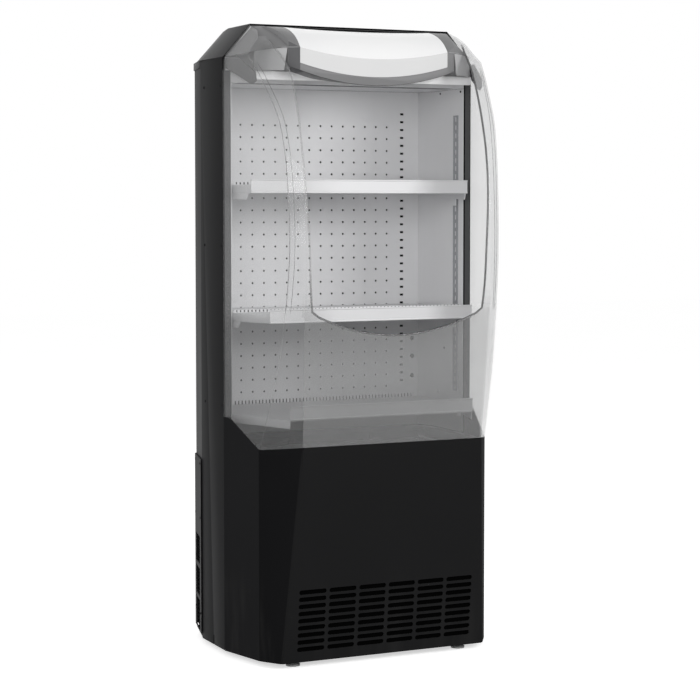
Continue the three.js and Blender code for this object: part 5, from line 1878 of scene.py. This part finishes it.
@dataclass
class Studio:
    """A pale floor, plain soft light and the camera at the photograph's angle."""

    camera_place: Place = (-2.0672, -4.4040, 1.1034)
    heading: float = 25.258
    pitch: float = 3.345
    lens: float = 101.0
    shift: float = -0.05
    level: float = 0.42
    floor_lift: float = 0.6
    floor_reach: float = 14.0
    lamps_aim: float = 0.8
    lamps: tuple[tuple[str, Place, float, float], ...] = (
        ("key", (1.2, -3.0, 1.85), 1.1, 41.0),
        ("fill", (-1.9, -3.1, 1.5), 1.4, 45.0),
        ("rim", (3.0, -1.4, 1.2), 1.2, 12.0),
        ("side", (-3.2, 0.4, 1.9), 1.8, 19.0),
        ("back", (0.6, 3.0, 2.6), 2.4, 10.0),
    )

    def build(self) -> None:
        """Makes the camera, the world, the lamps and the floor."""
        self.camera()
        self.world()
        for name, place, size, power in self.lamps:
            self.lamp(name, place, size, power)
        self.floor()
        bpy.context.scene.view_settings.view_transform = "Standard"

    def camera(self) -> None:
        """Places the camera and makes it the scene's."""
        data = bpy.data.cameras.new("camera")
        data.lens = self.lens
        data.sensor_width = 36.0
        data.shift_y = self.shift
        data.clip_end = 60.0
        camera = bpy.data.objects.new("camera", data)
        camera.location = self.camera_place
        camera.rotation_euler = (math.radians(90.0 - self.pitch), 0.0, math.radians(-self.heading))
        bpy.context.scene.collection.objects.link(camera)
        bpy.context.scene.camera = camera

    def world(self) -> None:
        """Makes the surroundings: white to camera, gloss and clear sheets, else a plain level."""
        world = bpy.data.worlds.new("studio")
        world.use_nodes = True
        tree = Tree(world.node_tree, "ShaderNodeOutputWorld")
        kind = "ShaderNodeBackground"
        plain = tree.node(kind, {}, {"Color": WHITE, "Strength": self.level})
        white = tree.node(kind, {}, {"Color": WHITE, "Strength": 1.0})
        seen = tree.rays("Is Camera Ray", "Is Glossy Ray", "Is Transmission Ray")
        tree.feed(tree.output, tree.node("ShaderNodeMixShader", {}, {0: seen, 1: plain, 2: white}))
        bpy.context.scene.world = world

    def lamp(self, name: str, place: Sequence[float], size: float, power: float) -> None:
        """Adds a large soft lamp that faces the fridge.

        Args:
            name: The lamp's name.
            place: Where it hangs, in metres.
            size: The length of its sides, in metres.
            power: Its power in watts.
        """
        data = bpy.data.lights.new(name, "AREA")
        data.shape = "SQUARE"
        data.size = size
        data.energy = power
        lamp = bpy.data.objects.new(name, data)
        lamp.location = place
        aim = Vector((0, 0, self.lamps_aim)) - Vector(place)
        lamp.rotation_euler = aim.to_track_quat("-Z", "Y").to_euler()
        bpy.context.scene.collection.objects.link(lamp)

    def floor(self) -> None:
        """Lays the floor, pale to the eye and dark to the light it would throw back up."""
        bm = bmesh.new()
        bmesh.ops.create_grid(bm, x_segments=1, y_segments=1, size=self.floor_reach)
        mesh = bpy.data.meshes.new("floor")
        bm.to_mesh(mesh)
        bm.free()
        shader = Shader("floor_paint")
        cloud = shader.noise(900, 2)
        dull = {"Roughness": 0.9, "Specular IOR Level": 0.0}
        plain = shader.node("ShaderNodeBsdfPrincipled", {}, {
            **dull, "Base Color": shader.mix(cloud, (0.24, 0.24, 0.24), (0.26, 0.26, 0.26))})
        white = shader.node("ShaderNodeBsdfPrincipled", {}, {
            **dull, "Base Color": shader.mix(cloud, (0.93, 0.93, 0.93), (0.95, 0.95, 0.95)),
            "Emission Color": WHITE, "Emission Strength": self.floor_lift})
        seen = shader.rays("Is Camera Ray", "Is Glossy Ray")
        shown = shader.node("ShaderNodeMixShader", {}, {0: seen, 1: plain, 2: white})
        shader.feed(shader.output, shown)
        mesh.materials.append(shader.material)
        floor = bpy.data.objects.new("floor", mesh)
        bpy.context.scene.collection.objects.link(floor)


def main() -> None:
    """Builds the studio and every dressed piece."""
    logging.basicConfig(level=logging.INFO, format="%(name)s: %(message)s")
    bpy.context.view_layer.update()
    builders = [
        Studio(),
        CarriedNodes(),
        Steelwork(),
        LowerCover(),
        BackWall(),
        Shelf("upper_shelf", Body.SHELF_UPPER, surface=1125, reach=63, half=291, strip_rise=13,
              pan_node="shelf_upper", strip_node="price_strip_upper",
              bracket_nodes=("shelf_bracket_upper_left", "shelf_bracket_upper_right")),
        Shelf("lower_shelf", Body.SHELF_LOWER, surface=818, reach=126, half=270, strip_rise=13,
              pan_node="shelf_lower", strip_node="price_strip_lower",
              bracket_nodes=("shelf_bracket_lower_left", "shelf_bracket_lower_right")),
        Shelf("deck", Body.DECK, surface=573, reach=182, half=242.6, strip_rise=33,
              pan_node="deck_tray", strip_node="price_strip_deck"),
        Canopy(),
        VentCover(),
        Fasteners(),
        Screens(),
    ]
    for builder in builders:
        LOG.info("building %s", type(builder).__name__)
        builder.build()


if __name__ == "__main__":
    main()
